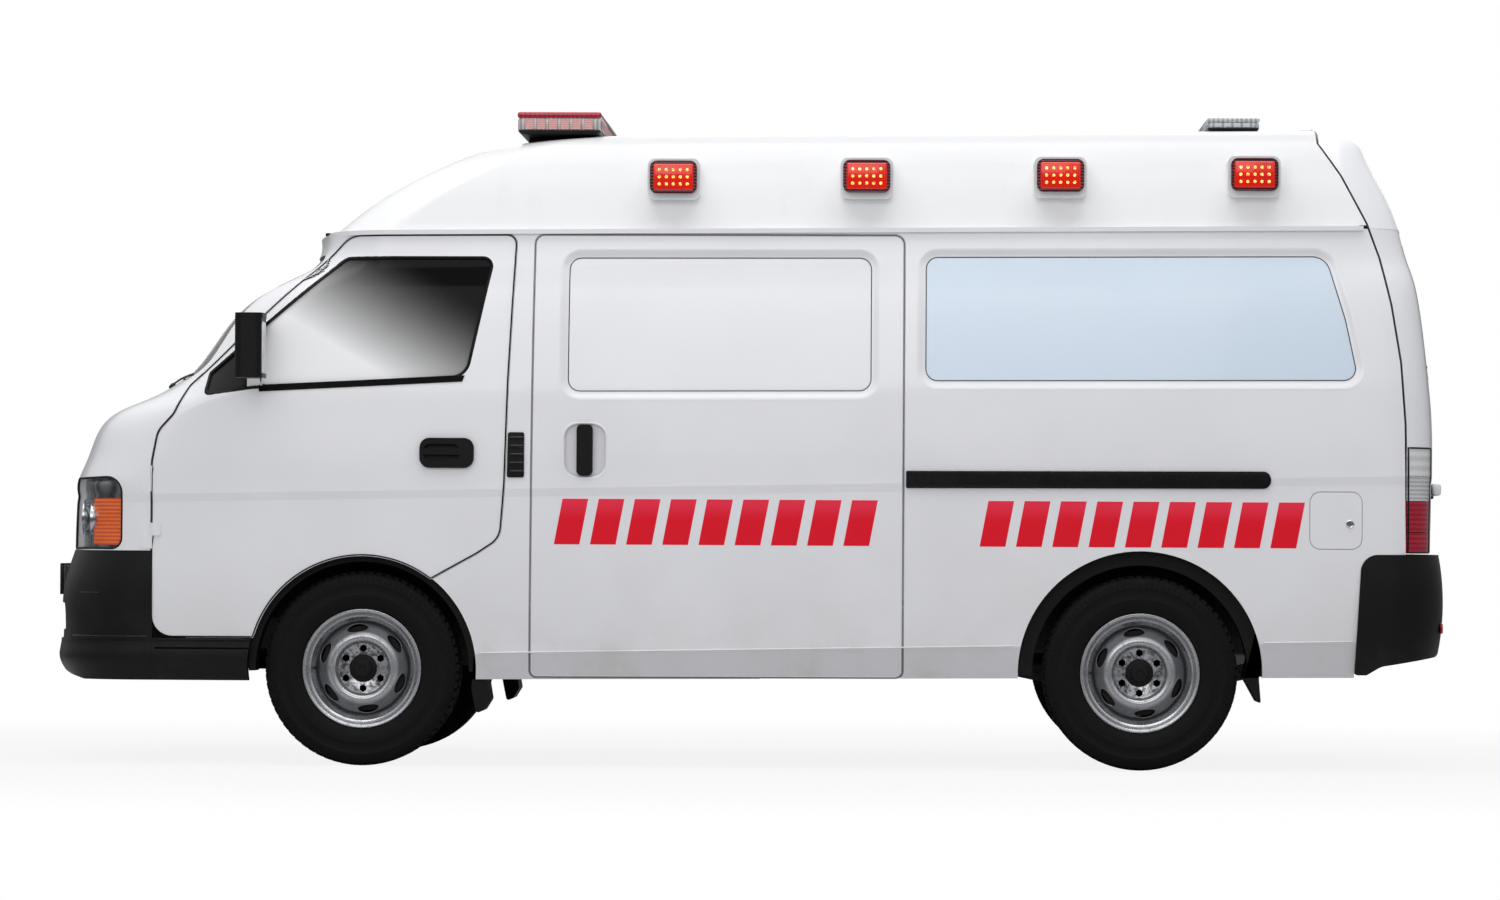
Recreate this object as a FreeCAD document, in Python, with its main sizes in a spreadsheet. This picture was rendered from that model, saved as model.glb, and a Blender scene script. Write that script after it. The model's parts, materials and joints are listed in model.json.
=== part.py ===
import FreeCAD, Part
import functools
import math
import os
import Sketcher
from FreeCAD import Placement, Rotation, Vector

# High-roof ambulance on a van body. Millimetres, nose towards -X, left side towards -Y, standing on Z = 0,
# with the origin in the middle of its overall length and width.

doc = FreeCAD.newDocument("ambulance")
sheet = doc.addObject("Spreadsheet::Sheet", "sizes")
sizes = [  # alias, value, meaning
    ("body_length", 4990, "front bumper to rear bumper"),
    ("body_width", 1694, "widest part of the sides, without mirrors"),
    ("roof_height", 2276, "level to which the roof sections rise"),
    ("gutter_height", 1880, "joint between steel body and high roof"),
    ("waist_height", 986, "crease along the sides"),
    ("waist_band", 28, "height of the crease band"),
    ("sill_height", 312, "lower edge of the sides"),
    ("floor_height", 610, "top of the floor"),
    ("floor_thickness", 40, "floor with its ribs"),
    ("wall_thickness", 45, "side walls and doors with their lining"),
    ("roof_thickness", 35, "high roof shell with its lining"),
    ("glass_thickness", 6, "window glass"),
    ("glass_depth", 10, "glass behind the outer skin"),
    ("shut_gap", 8, "gap round anything that opens"),
    ("seat_gap", 0.3, "gap where a fixed piece is seated"),
    ("front_overhang", 1165, "nose to front axle"),
    ("wheelbase", 2715, "axle to axle"),
    ("track_width", 1460, "tyre centre to tyre centre"),
    ("tyre_radius", 340, "loaded radius"),
    ("tyre_width", 195, "section width"),
    ("tyre_shoulder", 20, "shoulder radius"),
    ("rim_radius", 208, "flange of the steel wheel"),
    ("rim_width", 172, "over the flanges"),
    ("bolt_circle", 139.7, "wheel nuts"),
    ("vent_circle", 296, "vent slots in the wheel disc"),
    ("front_clearance", 60, "front wheel arch round the tyre"),
    ("rear_clearance", 85, "rear wheel arch round the tyre"),
    ("housing_depth", 410, "wheel housing, inwards from the widest side"),
    ("housing_wall", 15, "wheel housing sheet with its lining"),
    ("kingpin_y", 655, "steering axis from the centre line"),
    ("spindle_radius", 28, "stub axle"),
    ("axle_radius", 42, "rear axle tube"),
    ("diff_radius", 135, "rear axle casing"),
    ("drum_radius", 140, "rear brake drums"),
    ("rail_spacing", 740, "chassis rails, centre to centre"),
    ("rail_width", 60, "chassis rail"),
    ("rail_height", 110, "chassis rail"),
    ("rail_bottom", 400, "underside of the chassis rails"),
    ("bumper_height", 748, "top of the front bumper"),
    ("bumper_thickness", 45, "bumper moulding"),
    ("rear_bumper_height", 757, "top of the rear bumper at the corners"),
    ("panel_recess", 12, "pressed panels in the sides"),
    ("sill_recess", 4, "sills behind the skin above them"),
    ("frame_setback", 160, "chassis rails from the bumpers"),
    ("member_width", 60, "crossmembers and leaf springs"),
    ("tow_bore", 16, "radius of the lashing eyes"),
    ("eye_radius", 34, "outside of the lashing eyes"),
    ("pad_length", 90, "jacking pads"),
    ("pad_height", 14, "jacking pads below the rails"),
    ("tank_length", 700, "fuel tank"),
    ("tank_width", 320, "fuel tank"),
    ("engine_length", 640, "engine with gearbox bell"),
    ("engine_width", 520, "engine"),
    ("engine_height", 330, "engine"),
    ("seat_width", 500, "front seats"),
    ("mirror_reach", 150, "mirror outside the door"),
]
for row, (alias, value, meaning) in enumerate(sizes, 1):
    sheet.set("A%d" % row, alias)
    sheet.set("B%d" % row, str(value))
    sheet.set("C%d" % row, meaning)
    sheet.setAlias("B%d" % row, alias)
doc.recompute()


class Dimensions:
    def __getattr__(self, alias):
        return float(sheet.get(alias))


dim = Dimensions()
nose = -dim.body_length / 2
tail = dim.body_length / 2
side = dim.body_width / 2
front_axle = nose + dim.front_overhang
rear_axle = front_axle + dim.wheelbase
front_arch = dim.tyre_radius + dim.front_clearance
rear_arch = dim.tyre_radius + dim.rear_clearance
nodes = []


def node(name, shape_or_object):
    """Gives a finished sub-part its name: a document object is labelled, a bare shape becomes a feature."""
    part = shape_or_object
    if isinstance(part, Part.Shape):
        part = doc.addObject("Part::Feature", name)
        part.Shape = shape_or_object
    part.Label = name
    nodes.append(part)
    return part


def bound(kind, name, at, along_y=False, **measures):
    """Part primitive with its sizes and its place bound to the sheet."""
    part = doc.addObject(kind, name)
    if along_y:
        part.Placement = Placement(Vector(0, 0, 0), Rotation(Vector(1, 0, 0), -90))
    for axis, text in zip("xyz", at):
        part.setExpression("Placement.Base." + axis, text)
    for key, text in measures.items():
        part.setExpression(key, text)
    return part


def fused(name, shapes):
    part = doc.addObject("Part::MultiFuse", name)
    part.Shapes = shapes
    return part


def cut_by(name, base, tool):
    part = doc.addObject("Part::Cut", name)
    part.Base = base
    part.Tool = tool
    return part


def rounded_along_x(name, base, radius):
    """Fillet on every edge that runs along X."""
    doc.recompute()
    edges = [i for i, e in enumerate(base.Shape.Edges, 1) if abs(e.tangentAt(e.FirstParameter).x) > 0.9]
    part = doc.addObject("Part::Fillet", name)
    part.Base = base
    part.Edges = [(i, radius, radius) for i in edges]
    return part


# ---- outlines and cutters ----

def wire_of(corners):
    """Closed wire in the XZ plane through (x, z, radius) corners, each rounded to its radius."""
    count = len(corners)
    edges, ends = [], []
    for i, (x, z, radius) in enumerate(corners):
        here = Vector(x, 0, z)
        before = Vector(corners[i - 1][0], 0, corners[i - 1][1]) - here
        after = Vector(corners[(i + 1) % count][0], 0, corners[(i + 1) % count][1]) - here
        if radius <= 0:
            ends.append((here, here))
            continue
        half = before.getAngle(after) / 2
        reach = min(radius / math.tan(half), 0.49 * before.Length, 0.49 * after.Length)
        radius = reach * math.tan(half)
        start = here + before.normalize() * reach
        end = here + after.normalize() * reach
        middle = (before + after).normalize()
        centre = here + middle * (radius / math.sin(half))
        edges.append(Part.Arc(start, centre - middle * radius, end).toShape())
        ends.append((start, end))
    for i in range(count):
        a, b = ends[i][1], ends[(i + 1) % count][0]
        if a.distanceToPoint(b) > 0.01:
            edges.append(Part.LineSegment(a, b).toShape())
    return Part.Wire(Part.sortEdges(edges)[0])


def prism(corners, y_low, y_high, grow=0.0):
    """Solid between two Y planes with the rounded outline of the corners, grown all round."""
    wire = wire_of(corners)
    if grow:
        wire = wire.makeOffset2D(grow)
    wire.translate(Vector(0, y_low, 0))
    return Part.Face(wire).extrude(Vector(0, y_high - y_low, 0))


def left(corners, grow=0.0):
    return prism(corners, -1.5 * side, -0.45 * side, grow)


def front_view(corners, x_low, x_high, grow=0.0):
    """Solid between two X planes with a (y, z, radius) outline."""
    solid = prism(corners, -x_high, -x_low, grow)
    solid.rotate(Vector(0, 0, 0), Vector(0, 0, 1), 90)
    return solid


def block(x_low, x_high, y_low, y_high, z_low, z_high):
    return Part.makeBox(x_high - x_low, y_high - y_low, z_high - z_low, Vector(x_low, y_low, z_low))


def mirrored(shape):
    return shape.mirror(Vector(0, 0, 0), Vector(0, 1, 0))


def both(shape):
    return Part.makeCompound([shape, mirrored(shape)])


def across(x, z, radius, y_low, y_high):
    """Cylinder along Y."""
    return Part.makeCylinder(radius, y_high - y_low, Vector(x, y_low, z), Vector(0, 1, 0))


# ---- body surface: lofts through level sections ----

def section(height, tilt, half_width, front, rear, front_corner, rear_corner):
    """Plan outline of the body at one height: bowed nose and tail, straight sides, rounded corners."""
    nose_bow, tail_bow = 2200.0, 4500.0

    def corner(end, bow, radius, towards):
        along = math.sqrt((bow - radius) ** 2 - (half_width - radius) ** 2)
        centre = Vector(end - towards * bow + towards * along, half_width - radius, 0)
        start_angle = math.atan2(half_width - radius, along)
        middle_angle = (start_angle + math.pi / 2) / 2

        def point(angle):
            return centre + Vector(towards * radius * math.cos(angle), radius * math.sin(angle), 0)
        return point(start_angle), point(middle_angle), point(math.pi / 2)

    def flip(p):
        return Vector(p.x, -p.y, 0)

    f_bow, f_mid, f_side = corner(front, nose_bow, front_corner, -1)
    r_bow, r_mid, r_side = corner(rear, tail_bow, rear_corner, 1)
    edges = [
        Part.Arc(flip(f_bow), Vector(front, 0, 0), f_bow).toShape(),
        Part.Arc(f_bow, f_mid, f_side).toShape(),
        Part.LineSegment(f_side, r_side).toShape(),
        Part.Arc(r_side, r_mid, r_bow).toShape(),
        Part.Arc(r_bow, Vector(rear, 0, 0), flip(r_bow)).toShape(),
        Part.Arc(flip(r_bow), flip(r_mid), flip(r_side)).toShape(),
        Part.LineSegment(flip(r_side), flip(f_side)).toShape(),
        Part.Arc(flip(f_side), flip(f_mid), flip(f_bow)).toShape(),
    ]
    wire = Part.Wire(edges)
    wire.Placement = Placement(Vector(0, 0, height), Rotation(Vector(0, 1, 0), -tilt))
    return wire


# Columns: share of the rise, tilt in degrees, inset from the widest side, set-back from the nose,
# set-back from the tail, front corner radius, rear corner radius.
lower_rows = [
    (0.00, 0.45, 38, 120, 60, 290, 160),
    (0.20, 0.60, 20, 86, 52, 295, 160),
    (0.60, 0.85, 7, 58, 46, 300, 160),
    (1.00, 1.10, 6, 61, 42, 300, 160),
]
band_rows = [
    (0.00, 1.10, 6, 61, 42, 300, 160),
    (1.00, 1.10, 0, 65, 39, 300, 160),
]
upper_rows = [
    (0.000, 1.10, 0, 65, 39, 300, 160),
    (0.128, 1.00, 1, 90, 39, 300, 160),
    (0.239, 0.95, 5, 129, 42, 295, 160),
    (0.306, 0.90, 8, 177, 46, 290, 160),
    (0.351, 0.90, 10, 255, 50, 285, 160),
    (0.402, 0.85, 14, 367, 54, 280, 160),
    (0.575, 0.75, 32, 535, 71, 270, 160),
    (0.799, 0.60, 67, 745, 107, 260, 160),
    (1.000, 0.45, 102, 937, 160, 250, 155),
]
roof_rows = [
    (0.000, 0.45, 102, 967, 158, 250, 155),
    (0.157, 0.45, 119, 1043, 182, 250, 150),
    (0.393, 0.45, 147, 1178, 225, 250, 150),
    (0.602, 0.45, 179, 1338, 269, 240, 140),
    (0.754, 0.45, 215, 1490, 295, 230, 130),
    (0.838, 0.45, 257, 1645, 320, 220, 120),
    (0.895, 0.45, 327, 1895, 365, 200, 110),
    (0.925, 0.45, 417, 2215, 435, 180, 90),
    (0.940, 0.45, 547, 2495, 545, 120, 60),
]


def loft(rows, low, high, grow=0.0, ruled=False):
    wires = []
    for share, tilt, inset, back, forward, front_corner, rear_corner in rows:
        wires.append(section(
            low + share * (high - low), tilt, side - inset + grow, nose + back - grow, tail - forward + grow,
            max(front_corner + grow, 15), max(rear_corner + grow, 15)))
    return Part.makeLoft(wires, True, ruled)


band_low = dim.waist_height - dim.waist_band


@functools.lru_cache(None)
def lower(grow=0.0, drop=0.0):
    return loft(lower_rows, dim.sill_height - drop, band_low, grow)


@functools.lru_cache(None)
def upper(grow=0.0):
    return loft(upper_rows, dim.waist_height, dim.gutter_height, grow)


@functools.lru_cache(None)
def roof(grow=0.0):
    return loft(roof_rows, dim.gutter_height, dim.roof_height + grow, grow)


@functools.lru_cache(None)
def body(grow=0.0, drop=0.0):
    band = loft(band_rows, band_low, dim.waist_height, grow, True)
    return lower(grow, drop).fuse([band, upper(grow)])


steel_shell = body().cut(body(-dim.wall_thickness, 60))
roof_shell = roof().cut(roof(-dim.roof_thickness))

# ---- openings, as (x, z, radius) corners ----

door_x = nose + 431
door_outline = [
    (door_x, 451, 70),
    (front_axle, 451, 0),
    (front_axle + 233, 655, 0),
    (front_axle + 400, 748, 90),
    (nose + 1643, 800, 70),
    (nose + 1658, 990, 0),
    (nose + 1668, 1351, 0),
    (nose + 1691, 1860, 30),
    (nose + 1105, 1856, 90),
    (nose + 550, 1328, 60),
    (nose + 505, 1225, 70),
    (nose + 450, 1165, 80),
    (door_x, 1060, 0),
]
door_window = [
    (nose + 603, 1290, 15),
    (nose + 614, 1375, 20),
    (nose + 1090, 1785, 55),
    (nose + 1620, 1786, 35),
    (nose + 1528, 1358, 70),
    (nose + 777, 1316, 0),
]
slide_outline = [
    (nose + 1756, 318, 20),
    (nose + 3050, 322, 20),
    (nose + 3050, 1862, 30),
    (nose + 1764, 1860, 30),
]
slide_panel = [
    (nose + 1853, 1284, 70),
    (nose + 2968, 1290, 70),
    (nose + 2968, 1815, 70),
    (nose + 1853, 1811, 70),
]
rear_window = [
    (tail - 1889, 1326, 70),
    (tail - 322, 1334, 70),
    (tail - 372, 1580, 0),
    (tail - 445, 1826, 90),
    (tail - 1889, 1818, 70),
]
gate_line = [  # shut line of the tailgate from the roof down
    (tail - 481, 2202),
    (tail - 403, 2083),
    (tail - 319, 1917),
    (tail - 274, 1792),
    (tail - 236, 1628),
    (tail - 204, 1426),
    (tail - 189, 1210),
    (tail - 183, 780),
]
lamp_top, lamp_low, lamp_y = 1132.0, 762.0, 655.0


def gate_region(grow):
    """Everything behind the tailgate's shut line."""
    corners = [(gate_line[0][0] - grow, 2500, 0)]
    corners += [(x - grow, z, 60 if i in (1, 2) else 0) for i, (x, z) in enumerate(gate_line)]
    gate_foot = dim.rear_bumper_height + dim.shut_gap
    corners += [(tail - 183 - grow, gate_foot, 0), (tail + 300, gate_foot, 0), (tail + 300, 2500, 0)]
    return prism(corners, -1.5 * side, 1.5 * side)


def arch(x, radius, y_low=-1.6 * side, y_high=1.6 * side):
    return across(x, dim.tyre_radius, radius, y_low, y_high)


arches = [arch(front_axle, front_arch), arch(rear_axle, rear_arch)]
split_x = front_axle
front_half = block(nose - 100, split_x, -2 * side, 2 * side, 0, 2500)
rear_half = block(split_x + dim.seat_gap, tail + 200, -2 * side, 2 * side, 0, 2500)
gap = dim.shut_gap
door_opening = left(door_outline, gap)
slide_opening = left(slide_outline, gap)
bumper_end = nose + 431
rear_bumper_outline = [
    (tail - 344, dim.rear_bumper_height, 60),
    (tail - 367, 338, 12),
    (tail - 325, 338, 0),
    (tail - 275, 368, 60),
    (tail - 80, 400, 30),
    (tail + 60, 440, 0),
    (tail + 60, dim.rear_bumper_height, 0),
]

# ---- nose, pillars and windscreen frame ----

screen_outline = [
    (-700, 1352, 60),
    (700, 1352, 60),
    (600, 1800, 80),
    (-600, 1800, 80),
]
lamp_outline = [
    (nose - 50, 752, 0),
    (nose + 322, 752, 40),
    (nose + 322, 1010, 60),
    (nose - 50, 1000, 0),
]
head_lamp_y = 430.0


def head_lamp_region(grow):
    inner = prism(lamp_outline, -1.5 * side, -head_lamp_y + grow, grow)
    return inner.common(block(nose - 200, nose + 400, -1.5 * side, 0, 0, 2000))


def grille_region(grow):
    half = head_lamp_y - 12 + grow
    return block(nose - 100, nose + 200, -half, half, 800 - grow, 930 + grow)


cowl_cut = front_view(screen_outline, nose - 100, nose + 1150)
front = steel_shell.common(front_half)
front = front.cut([
    door_opening, mirrored(door_opening), cowl_cut, arches[0],
    head_lamp_region(dim.seat_gap), mirrored(head_lamp_region(dim.seat_gap)), grille_region(dim.seat_gap),
    block(nose - 100, split_x + 1, -2 * side, 2 * side, 0, dim.bumper_height + dim.seat_gap),
])
hinge_x = door_x - gap / 2
hinge_y = -(side - 2)
pin_radius = gap / 2 - 0.6


def door_hinge(z, towards):
    """Half of a door hinge: a lug and a barrel on the hinge line, on the body (-1) or on the door (+1)."""
    low = z + dim.seat_gap if towards > 0 else z - 45
    barrel = Part.makeCylinder(pin_radius, 45, Vector(hinge_x, hinge_y, low))
    reach = 30 + gap / 2
    lug = Part.makeBox(reach, 2 * pin_radius, 45, Vector(min(hinge_x, hinge_x + towards * reach),
                                                      hinge_y - pin_radius, low))
    lug.translate(Vector(0, pin_radius, 0))
    return barrel.fuse(lug)


hinge_heights = (800.0, 1000.0)
body_hinges = [door_hinge(z, -1) for z in hinge_heights]
front = front.fuse(body_hinges + [mirrored(h) for h in body_hinges])
node("front_panel", front)

screen_skin = upper(-dim.glass_depth).cut(upper(-dim.glass_depth - dim.glass_thickness))
screen = screen_skin.common(front_view(screen_outline, nose - 100, nose + 1150, -dim.seat_gap))
node("windscreen", screen.common(front_half))

# ---- front doors ----

door = steel_shell.common(left(door_outline)).cut([arches[0], left(door_window)])
door = door.fuse([door_hinge(z, 1) for z in hinge_heights])
glass_skin = screen_skin
sail_x = nose + 756
glass_cut = left(door_window, -dim.seat_gap)
behind_sail = block(sail_x + dim.seat_gap, tail, -2 * side, 2 * side, 0, 2500)
before_sail = block(nose, sail_x, -2 * side, 2 * side, 0, 2500)
door_glass = glass_skin.common(glass_cut).common(behind_sail)
sail = glass_skin.common(glass_cut).common(before_sail)

# Mirror: a housing on two arms from the sail plate at the front corner of the window.
mirror_y = -(side + 25)
housing = block(nose + 735, nose + 833, mirror_y - dim.mirror_reach, mirror_y, 1350, 1575)
housing = housing.makeFillet(28, [e for e in housing.Edges if abs(e.tangentAt(e.FirstParameter).y) < 0.5
                                  and abs(e.tangentAt(e.FirstParameter).z) > 0.5])
mirror_face = block(nose + 828, nose + 840, mirror_y - dim.mirror_reach + 14, mirror_y - 14, 1366, 1559)
housing = housing.cut(mirror_face)
arm = across(nose + 738, 1400, 16, mirror_y - 20, -(side - 90))
arm = arm.cut(upper(-dim.glass_depth - dim.glass_thickness))
mirror = sail.fuse([housing, arm])

handle_outline = [
    (nose + 1366, 1042, 35),
    (nose + 1555, 1042, 35),
    (nose + 1555, 1147, 35),
    (nose + 1366, 1147, 35),
]
finger_outline = [
    (nose + 1380, 1070, 20),
    (nose + 1505, 1070, 20),
    (nose + 1505, 1125, 20),
    (nose + 1380, 1125, 20),
]
handle = prism(handle_outline, -(side + 14), -(side - 12))
handle_seat = prism(handle_outline, -(side + 40), -(side - 12) + dim.seat_gap, dim.seat_gap)
handle = handle.cut(prism(finger_outline, -(side + 40), -(side - 2)))
handle = handle.fuse(block(nose + 1375, nose + 1510, -(side + 14), -(side + 4), 1088, 1110))
door = door.cut(handle_seat)
for prefix, place in (("left", lambda s: s), ("right", mirrored)):
    node(prefix + "_front_door", place(door))
    node(prefix + "_door_glass", place(door_glass))
    node(prefix + "_mirror", place(mirror))
    node(prefix + "_door_handle", place(handle))

# ---- sides, sliding door and rear side windows ----

bumper_cut = prism(rear_bumper_outline[:2] + [(tail - 367, 100, 0), (tail + 100, 100, 0),
                                              (tail + 100, dim.rear_bumper_height, 0)],
                   -2 * side, 2 * side, dim.seat_gap)
flank = steel_shell.common(rear_half).cut([
    door_opening, mirrored(door_opening), gate_region(gap), bumper_cut, arches[0], arches[1],
    block(tail - 183 - gap, tail + 100, -2 * side, 2 * side, 0, lamp_top + gap),
])
sill_line = [
    (split_x, 403, 0),
    (tail, 457, 0),
    (tail, 100, 0),
    (split_x, 100, 0),
]
sill_step = body(5, 60).cut(body(-dim.sill_recess, 60)).common(prism(sill_line, -2 * side, 2 * side))
flank = flank.cut(sill_step)
window_opening = left(rear_window)
step_in = body(-dim.panel_recess)
recess = body(5).cut(step_in)
left_side = flank.common(block(nose, tail, -2 * side, -100, 0, 2500))
flap_outline = [
    (tail - 523, 777, 35),
    (tail - 345, 777, 35),
    (tail - 345, 973, 35),
    (tail - 523, 973, 35),
]
flap_depth = 8
flap_pocket = body(5).cut(body(-flap_depth)).common(left(flap_outline, 3))
left_side = left_side.cut([slide_opening, window_opening, flap_pocket])
node("fuel_flap", body().cut(body(-flap_depth + dim.seat_gap)).common(left(flap_outline)))
right_side = mirrored(flank.common(block(nose, tail, -2 * side, -100, 0, 2500)).cut(
    [window_opening, recess.common(left(slide_panel))]))
node("left_side_panel", left_side)
node("right_side_panel", right_side)

side_glass = glass_skin.common(left(rear_window, -dim.seat_gap))
node("rear_side_windows", both(side_glass))

slide_handle_pocket = [
    (nose + 1867, 1010, 50),
    (nose + 2019, 1010, 50),
    (nose + 2019, 1201, 50),
    (nose + 1867, 1201, 50),
]
slide = steel_shell.common(left(slide_outline))
slide = slide.cut([sill_step, recess.common(left(slide_panel)),
                   prism(slide_handle_pocket, -(side + 40), -(side - 18))])
node("sliding_door", slide)
slide_handle = block(nose + 1914, nose + 1970, -(side + 8), -(side - 18) - dim.seat_gap, 1018, 1196)
slide_handle = slide_handle.makeFillet(18, [e for e in slide_handle.Edges
                                           if abs(e.tangentAt(e.FirstParameter).y) > 0.9])
node("sliding_door_handle", slide_handle)

# ---- tailgate ----

full_shell = body().fuse(roof()).cut(body(-dim.wall_thickness, 60).fuse(roof(-dim.roof_thickness)))
gate = full_shell.common(gate_region(0))
lamp_zone = block(tail - 400, tail + 100, lamp_y, 2 * side, 0, lamp_top)
gate = gate.cut([lamp_zone, mirrored(lamp_zone)])
gate_window = [
    (-640, 1380, 90),
    (640, 1380, 90),
    (560, 1850, 110),
    (-560, 1850, 110),
]
gate = gate.cut(front_view(gate_window, rear_axle, tail + 100))


def top_at(x):
    """Height of the roof crown at one place along the body."""
    return roof_shell.common(block(x - 2, x + 2, -400, 400, dim.gutter_height, 2600)).BoundBox.ZMax


gate_pin_x = gate_line[0][0] - gap / 2
gate_pin_z = top_at(gate_pin_x) + 2
hinge_ys = (-300.0, 300.0)


def gate_hinge(y, towards):
    low = y + dim.seat_gap if towards > 0 else y - 60
    barrel = across(gate_pin_x, gate_pin_z, pin_radius, low, low + 60)
    reach = 40 + gap / 2
    lug = block(min(gate_pin_x, gate_pin_x + towards * reach), max(gate_pin_x, gate_pin_x + towards * reach),
                low, low + 60, gate_pin_z - 26, gate_pin_z)
    return barrel.fuse(lug)


high_roof = roof_shell.cut(gate_region(gap))
high_roof = high_roof.fuse([gate_hinge(y, -1) for y in hinge_ys])
gate = gate.fuse([gate_hinge(y, 1) for y in hinge_ys])
node("high_roof", high_roof)
node("tailgate", gate)
node("tailgate_glass", glass_skin.common(front_view(gate_window, rear_axle, tail + 100, -dim.seat_gap)))

tail_lamp = steel_shell.common(block(tail - 183, tail + 100, lamp_y + gap, 2 * side, lamp_low, lamp_top))
node("tail_lamps", both(tail_lamp))

# ---- bumpers, lamps and grille ----

front_bumper_rows = [
    (0.00, 0.0, 10, 14, 60, 300, 160),
    (0.45, 0.0, 4, 11, 60, 320, 160),
    (0.66, 0.0, 3, 20, 60, 330, 160),
    (0.85, 0.0, 5, 38, 60, 325, 160),
    (1.00, 0.0, 8, 54, 60, 320, 160),
]
lip_rows = [
    (0.00, 0.0, 26, 30, 60, 270, 160),
    (0.35, 0.0, 10, 8, 60, 290, 160),
    (0.58, 0.0, 4, 0, 60, 300, 160),
    (0.80, 0.0, 5, 4, 60, 300, 160),
    (1.00, 0.0, 7, 7, 60, 300, 160),
]
rear_bumper_rows = [
    (0.00, 0.0, 20, 60, 34, 290, 170),
    (0.30, 0.0, 6, 60, 8, 290, 190),
    (0.80, 0.0, 2, 60, 4, 290, 190),
    (1.00, 0.0, 6, 60, 16, 290, 180),
]
lip_height, lip_bottom = 432.0, 296.0
lip_sweep = [  # underside of the lip, which rises towards the nose
    (nose - 60, 200, 0),
    (nose - 60, 366, 0),
    (nose + 10, 362, 20),
    (nose + 70, 321, 60),
    (nose + 150, 303, 60),
    (nose + 240, 280, 0),
    (nose + 240, 200, 0),
]


def bumper(rows, low, high, region):
    outer = loft(rows, low, high)
    inner = loft(rows, low - 10, high + 10, -dim.bumper_thickness)
    return outer.cut(inner).common(region)


nose_half = block(nose - 50, split_x, -2 * side, 2 * side, 0, 2000)
nose_moulding = bumper(front_bumper_rows, lip_height - 2, dim.bumper_height, nose_half).fuse(
    bumper(lip_rows, lip_bottom, lip_height, nose_half)).cut(prism(lip_sweep, -2 * side, 2 * side))
intake_outline = [
    (-520, 462, 30),
    (520, 462, 30),
    (560, 560, 40),
    (-560, 560, 40),
]
intake = front_view(intake_outline, nose - 50, nose + 300)
plate_seat = block(nose - 50, nose + 17, -265, 265, 584, 702)
front_bumper = nose_moulding.common(block(nose - 50, bumper_end, -2 * side, 2 * side, 0, 2000))
front_bumper = front_bumper.cut([intake, plate_seat])
step_top = 451 - gap
valance = nose_moulding.common(block(bumper_end + dim.seat_gap, split_x, -2 * side, -300, 0, step_top))
valance = valance.cut(arches[0])
groove = body(40, 60).cut(body(-12, 60)).common(block(bumper_end + 10, split_x, -2 * side, -300, 405, 411))
node("front_bumper", front_bumper)
node("door_steps", both(valance.cut(groove)))
rear_region = prism(rear_bumper_outline, -2 * side, 2 * side)
node("rear_bumper", bumper(rear_bumper_rows, 338, dim.rear_bumper_height, rear_region))

head_lamp = steel_shell.common(head_lamp_region(0)).common(
    block(nose - 50, nose + 400, -2 * side, 0, dim.bumper_height + 2 * dim.seat_gap, 2000))
node("headlamps", both(head_lamp))
grille = steel_shell.common(grille_region(0))
for z in (822, 848, 874, 900):
    grille = grille.cut(block(nose - 100, nose + 96, -head_lamp_y + 40, head_lamp_y - 40, z - 7, z + 7))
node("grille", grille)

# ---- roof lights, gutters, rail, vents and flaps ----

def light_bar(name, middle, half_x, half_y, foot_low, low, high):
    """Lens body across the roof on two feet, cut to the roof under it."""
    lens = bound("Part::Box", name + "_lens", ("%s - %g" % (middle, half_x), "-%g" % half_y, "%g" % low),
                 Length="%g" % (2 * half_x), Width="%g" % (2 * half_y), Height="%g" % (high - low))
    doc.recompute()
    soft = doc.addObject("Part::Fillet", name + "_soft")
    soft.Base = lens
    radius = min(22, 0.4 * (high - low))
    soft.Edges = [(i, radius, radius) for i in range(1, 13)]
    feet = []
    for foot_y in (-0.6 * half_y - 50, 0.6 * half_y - 50):
        foot_at = ("%s - %g" % (middle, half_x - 30), "%g" % foot_y, "%g" % foot_low)
        feet.append(bound("Part::Box", name + "_foot", foot_at, Length="%g" % (2 * half_x - 60),
                          Width="100", Height="%g" % (low + 12 - foot_low)))
    return cut_by(name, fused(name + "_parts", [soft] + feet), roof_seat)


roof_skin = roof(dim.seat_gap)
roof_seat = doc.addObject("Part::Feature", "roof_seat")
roof_seat.Shape = roof_skin
front_bar_text = "(-sizes.body_length / 2 + 1828)"
rear_bar_text = "(sizes.body_length / 2 - 762)"
node("front_light_bar", light_bar("front_light_bar", front_bar_text, 150, 560, 2120, 2232, 2312))
node("rear_light_bar", light_bar("rear_light_bar", rear_bar_text, 95, 330, 2150, 2268, 2316))

lamp_xs = [nose + 2244 + 676.5 * i for i in range(4)]


def roof_lamp(x, z):
    plinth = block(x - 92, x + 92, -760, -560, z - 74, z + 70)
    plinth = plinth.makeFillet(26, [e for e in plinth.Edges if abs(e.tangentAt(e.FirstParameter).y) > 0.9])
    lens = block(x - 80, x + 80, -790, -700, z - 52, z + 58)
    lens = lens.makeFillet(22, [e for e in lens.Edges if abs(e.tangentAt(e.FirstParameter).y) > 0.9])
    return plinth.fuse(lens)


lamps = [roof_lamp(x, 2062 + 0.0079 * (x + 250)).cut(roof_skin) for x in lamp_xs]
node("roof_lamps", Part.makeCompound(lamps + [mirrored(lamp) for lamp in lamps]))

gutter_wire = section(dim.gutter_height - 8, 0.45, side - 102 + 16, nose + 945, tail - 160 + 16, 255, 160)
gutter = Part.Face(gutter_wire).extrude(Vector(0, 0, 16))
gutter = gutter.cut([upper(dim.seat_gap), roof(dim.seat_gap)])
gutter = gutter.common(block(nose + 1010, tail - 335, -2 * side, -300, 0, 2500))
node("drip_rails", both(gutter))

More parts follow.
